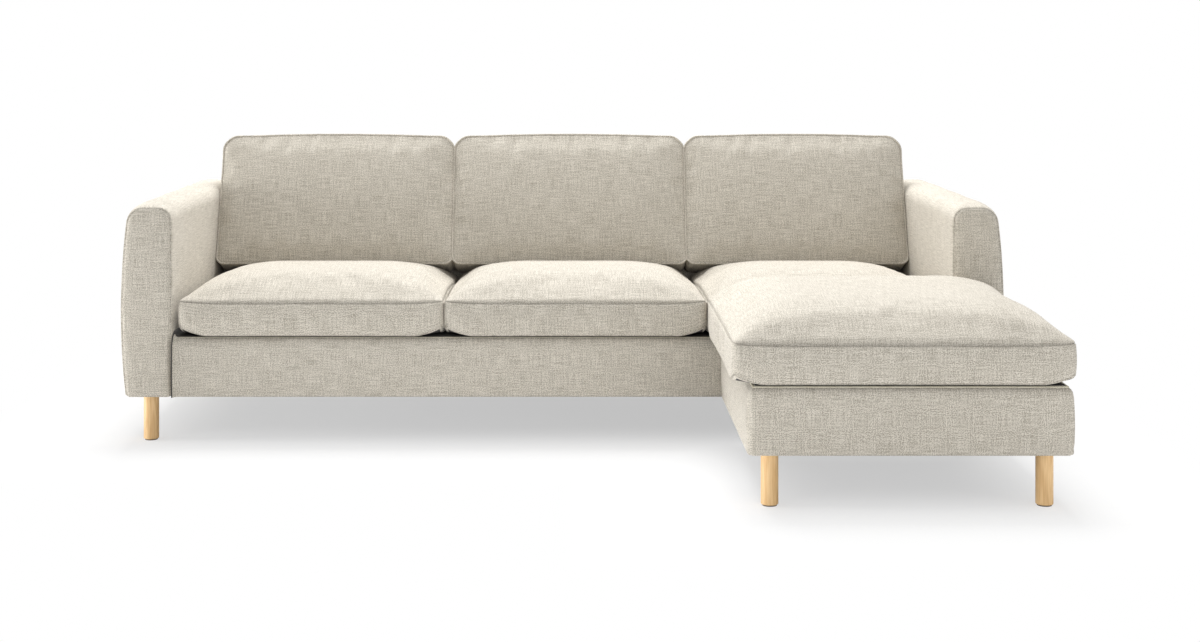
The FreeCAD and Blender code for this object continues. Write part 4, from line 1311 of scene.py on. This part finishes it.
class SOFA_OT_dust_cloths(bpy.types.Operator):
    """Make the cloths that close the frames from below"""
    bl_idname = "sofa.dust_cloths"
    bl_label = "Dust cloths"

    def execute(self, context):
        settings = context.scene.sofa_upholstery
        stuff = finish_material("Dust cloth", "Mottled", {
            "Light": (0.075, 0.075, 0.08, 1), "Dark": (0.035, 0.035, 0.038, 1),
            "Coarse": (120.0, 120.0, 1.0), "Fine": (700.0, 700.0, 1.0), "Rough": 0.85},
            on_cloth=True, relief=0.4)
        arm_low, arm_high = box_of("arm_dust_cloths")
        inner = arm_inner + 0.027
        arm_depth = (arm_low[1], arm_high[1])
        pieces = {
            "left_arm_dust_cloth": ((arm_low[0], -inner), arm_depth, "arm_dust_cloths"),
            "right_arm_dust_cloth": ((inner, arm_high[0]), arm_depth, "arm_dust_cloths"),
        }
        for node in ("seat_dust_cloth", "chaise_dust_cloth"):
            low, high = box_of(node)
            pieces[node + "_sheet"] = ((low[0], high[0]), (low[1], high[1]), node)
        for name, ((x0, x1), (y0, y1), node) in pieces.items():
            top = box_of(node)[1][2]
            a, b = spaced(x1 - x0, 0.03), spaced(y1 - y0, 0.03)
            across, along = np.meshgrid(a, b, indexing="ij")
            side = np.minimum(
                np.minimum(across, x1 - x0 - across), np.minimum(along, y1 - y0 - along))
            tucks = 0.0003 * np.sin(across * 60) * np.sin(along * 60) * (side < 0.05)
            z = top - 0.0004 - settings.cloth_sag * soft_edge(side, 0.12) + tucks
            work = Patchwork()
            work.panel(np.stack([x0 + across, y0 + along, z], -1), np.stack([across, along], -1))
            made = work.piece(name, "sofa", [stuff], "dust_cloth", (node,))
        return {"FINISHED"}


# Studio

class SOFA_OT_stage(bpy.types.Operator):
    """Make the floor, the soft lamps, the pale surroundings and the camera"""
    bl_idname = "sofa.stage"
    bl_label = "Stage"

    # The middle and half size of the two rectangles that the sofa covers on the floor
    footprint = (((0.0, 0.3415), (1.19, 0.4685)), ((0.805, -0.4635), (0.378, 0.3365)))

    def execute(self, context):
        settings = context.scene.sofa_stage
        scene = context.scene
        self.floor(settings)
        self.surroundings(scene, settings)
        # Place, turn in degrees, size and power of each lamp
        lamps = {
            "Top lamp": ((0.0, 2.2, 4.8), (-20, 0, 0), 3.6, settings.top_power),
            "Left lamp": ((-7.0, -0.35, 0.75), (90, 0, -90), 1.4, settings.left_power),
            "Front lamp": ((1.3, -4.4, 0.8), (90, 0, 9), 1.5, settings.front_power),
        }
        for name, (place, turn, size, power) in lamps.items():
            self.lamp(name, place, [math.radians(angle) for angle in turn], size, power)
        lens = bpy.data.cameras.new("Camera")
        lens.lens = 52.71
        lens.sensor_width = 36.0
        lens.shift_x = 0.0314
        lens.shift_y = -0.2315
        camera = bpy.data.objects.new("Camera", lens)
        camera.location = (0.0, -4.847, 1.0786)
        camera.rotation_euler = Euler((math.radians(90), 0, 0))
        scene.collection.objects.link(camera)
        scene.camera = camera
        scene.view_settings.view_transform = "Standard"
        return {"FINISHED"}

    def floor(self, settings):
        work = Patchwork()
        places = np.linspace(-9, 9, 13)
        flat = grid_of(places, places)
        work.panel(np.concatenate([flat, np.zeros((*flat.shape[:2], 1))], -1), flat)
        made = bpy.data.objects.new("Floor", work.mesh("Floor"))
        made.data.materials.append(self.floor_finish(settings))
        bpy.context.scene.collection.objects.link(made)

    def floor_finish(self, settings):
        """A pale floor that the camera sees lighter, and plain white away from the sofa."""
        tone = settings.floor_tone
        material = finish_material("Floor", "Mottled", {
            "Light": colour([tone] * 3), "Dark": colour([tone * 0.985] * 3),
            "Coarse": (1.0, 1.0, 1.0), "Fine": (300.0, 300.0, 1.0), "Rough": 0.8},
            relief=0.02, Specular_IOR_Level=0.1)
        tree = material.node_tree
        shader = next(n for n in tree.nodes if n.type == "BSDF_PRINCIPLED")
        output = next(n for n in tree.nodes if n.type == "OUTPUT_MATERIAL")
        place = add_node(tree, "ShaderNodeTexCoord").outputs["Object"]
        split = add_node(tree, "ShaderNodeSeparateXYZ", {"Vector": place}).outputs
        beyond = []
        for middle, half in self.footprint:
            gaps = [
                maths(tree, "SUBTRACT", maths(tree, "ABSOLUTE", maths(
                    tree, "SUBTRACT", split[i], middle[i])), half[i])
                for i in (0, 1)]
            beyond.append(maths(tree, "MAXIMUM", *gaps))
        lift = add_node(tree, "ShaderNodeMapRange", {
            "Value": maths(tree, "MINIMUM", *beyond), "From Min": -0.25, "From Max": 0.45,
            "To Min": settings.floor_lift, "To Max": 1.0}, interpolation_type="SMOOTHSTEP").outputs[0]
        seen = add_node(tree, "ShaderNodeLightPath").outputs["Is Camera Ray"]
        white = add_node(tree, "ShaderNodeEmission", {"Color": (1, 1, 1, 1), "Strength": 1.0})
        mixed = add_node(tree, "ShaderNodeMixShader", {"Fac": maths(tree, "MULTIPLY", lift, seen)})
        tree.links.new(shader.outputs[0], mixed.inputs[1])
        tree.links.new(white.outputs[0], mixed.inputs[2])
        tree.links.new(mixed.outputs[0], output.inputs["Surface"])
        return material

    def surroundings(self, scene, settings):
        """Even light from all sides, which the camera and reflections see as plain white."""
        world = bpy.data.worlds.new("Surroundings")
        scene.world = world
        world.use_nodes = True
        tree = world.node_tree
        tree.nodes.clear()
        light = add_node(tree, "ShaderNodeLightPath").outputs
        seen = maths(tree, "MAXIMUM", light["Is Camera Ray"], light["Is Glossy Ray"])
        seen = maths(tree, "MAXIMUM", seen, light["Is Transmission Ray"])
        strength = add_node(
            tree, "ShaderNodeMix", {"Factor": seen, "A": settings.sky, "B": 1.0},
            data_type="FLOAT").outputs[0]
        back = add_node(
            tree, "ShaderNodeBackground", {"Color": (1, 1, 1, 1), "Strength": strength})
        output = add_node(tree, "ShaderNodeOutputWorld")
        tree.links.new(back.outputs[0], output.inputs["Surface"])

    def lamp(self, name, place, turn, size, power):
        light = bpy.data.lights.new(name, "AREA")
        light.shape = "SQUARE"
        light.size = size
        light.energy = power
        made = bpy.data.objects.new(name, light)
        made.location = place
        made.rotation_euler = Euler(turn)
        bpy.context.scene.collection.objects.link(made)


class SOFA_PT_panel(bpy.types.Panel):
    """Sizes, colours and makers of the sofa"""
    bl_idname = "SOFA_PT_panel"
    bl_label = "Sectional sofa"
    bl_space_type = "VIEW_3D"
    bl_region_type = "UI"
    bl_category = "Sofa"

    def draw(self, context):
        layout = self.layout
        for name, kind in settings_groups.items():
            box = layout.box()
            group = getattr(context.scene, name)
            for prop in kind.__annotations__:
                box.prop(group, prop)
        for maker in makers:
            layout.operator(maker.bl_idname)


settings_groups = {
    "sofa_cloth": SofaClothSettings,
    "sofa_cushions": SofaCushionSettings,
    "sofa_upholstery": SofaUpholsterySettings,
    "sofa_stage": SofaStageSettings,
}
makers = (
    SOFA_OT_finishes, SOFA_OT_arms, SOFA_OT_base, SOFA_OT_fixed_back, SOFA_OT_chaise_base,
    SOFA_OT_dust_cloths, SOFA_OT_seat_cushions, SOFA_OT_back_cushions, SOFA_OT_stage,
)


def register():
    for kind in (*settings_groups.values(), *makers, SOFA_PT_panel):
        bpy.utils.register_class(kind)
    for name, kind in settings_groups.items():
        setattr(bpy.types.Scene, name, PointerProperty(type=kind))


def unregister():
    for name in settings_groups:
        delattr(bpy.types.Scene, name)
    for kind in reversed((*settings_groups.values(), *makers, SOFA_PT_panel)):
        bpy.utils.unregister_class(kind)


def main():
    register()
    for maker in makers:
        group, name = maker.bl_idname.split(".")
        getattr(getattr(bpy.ops, group), name)()


if __name__ == "__main__":
    main()
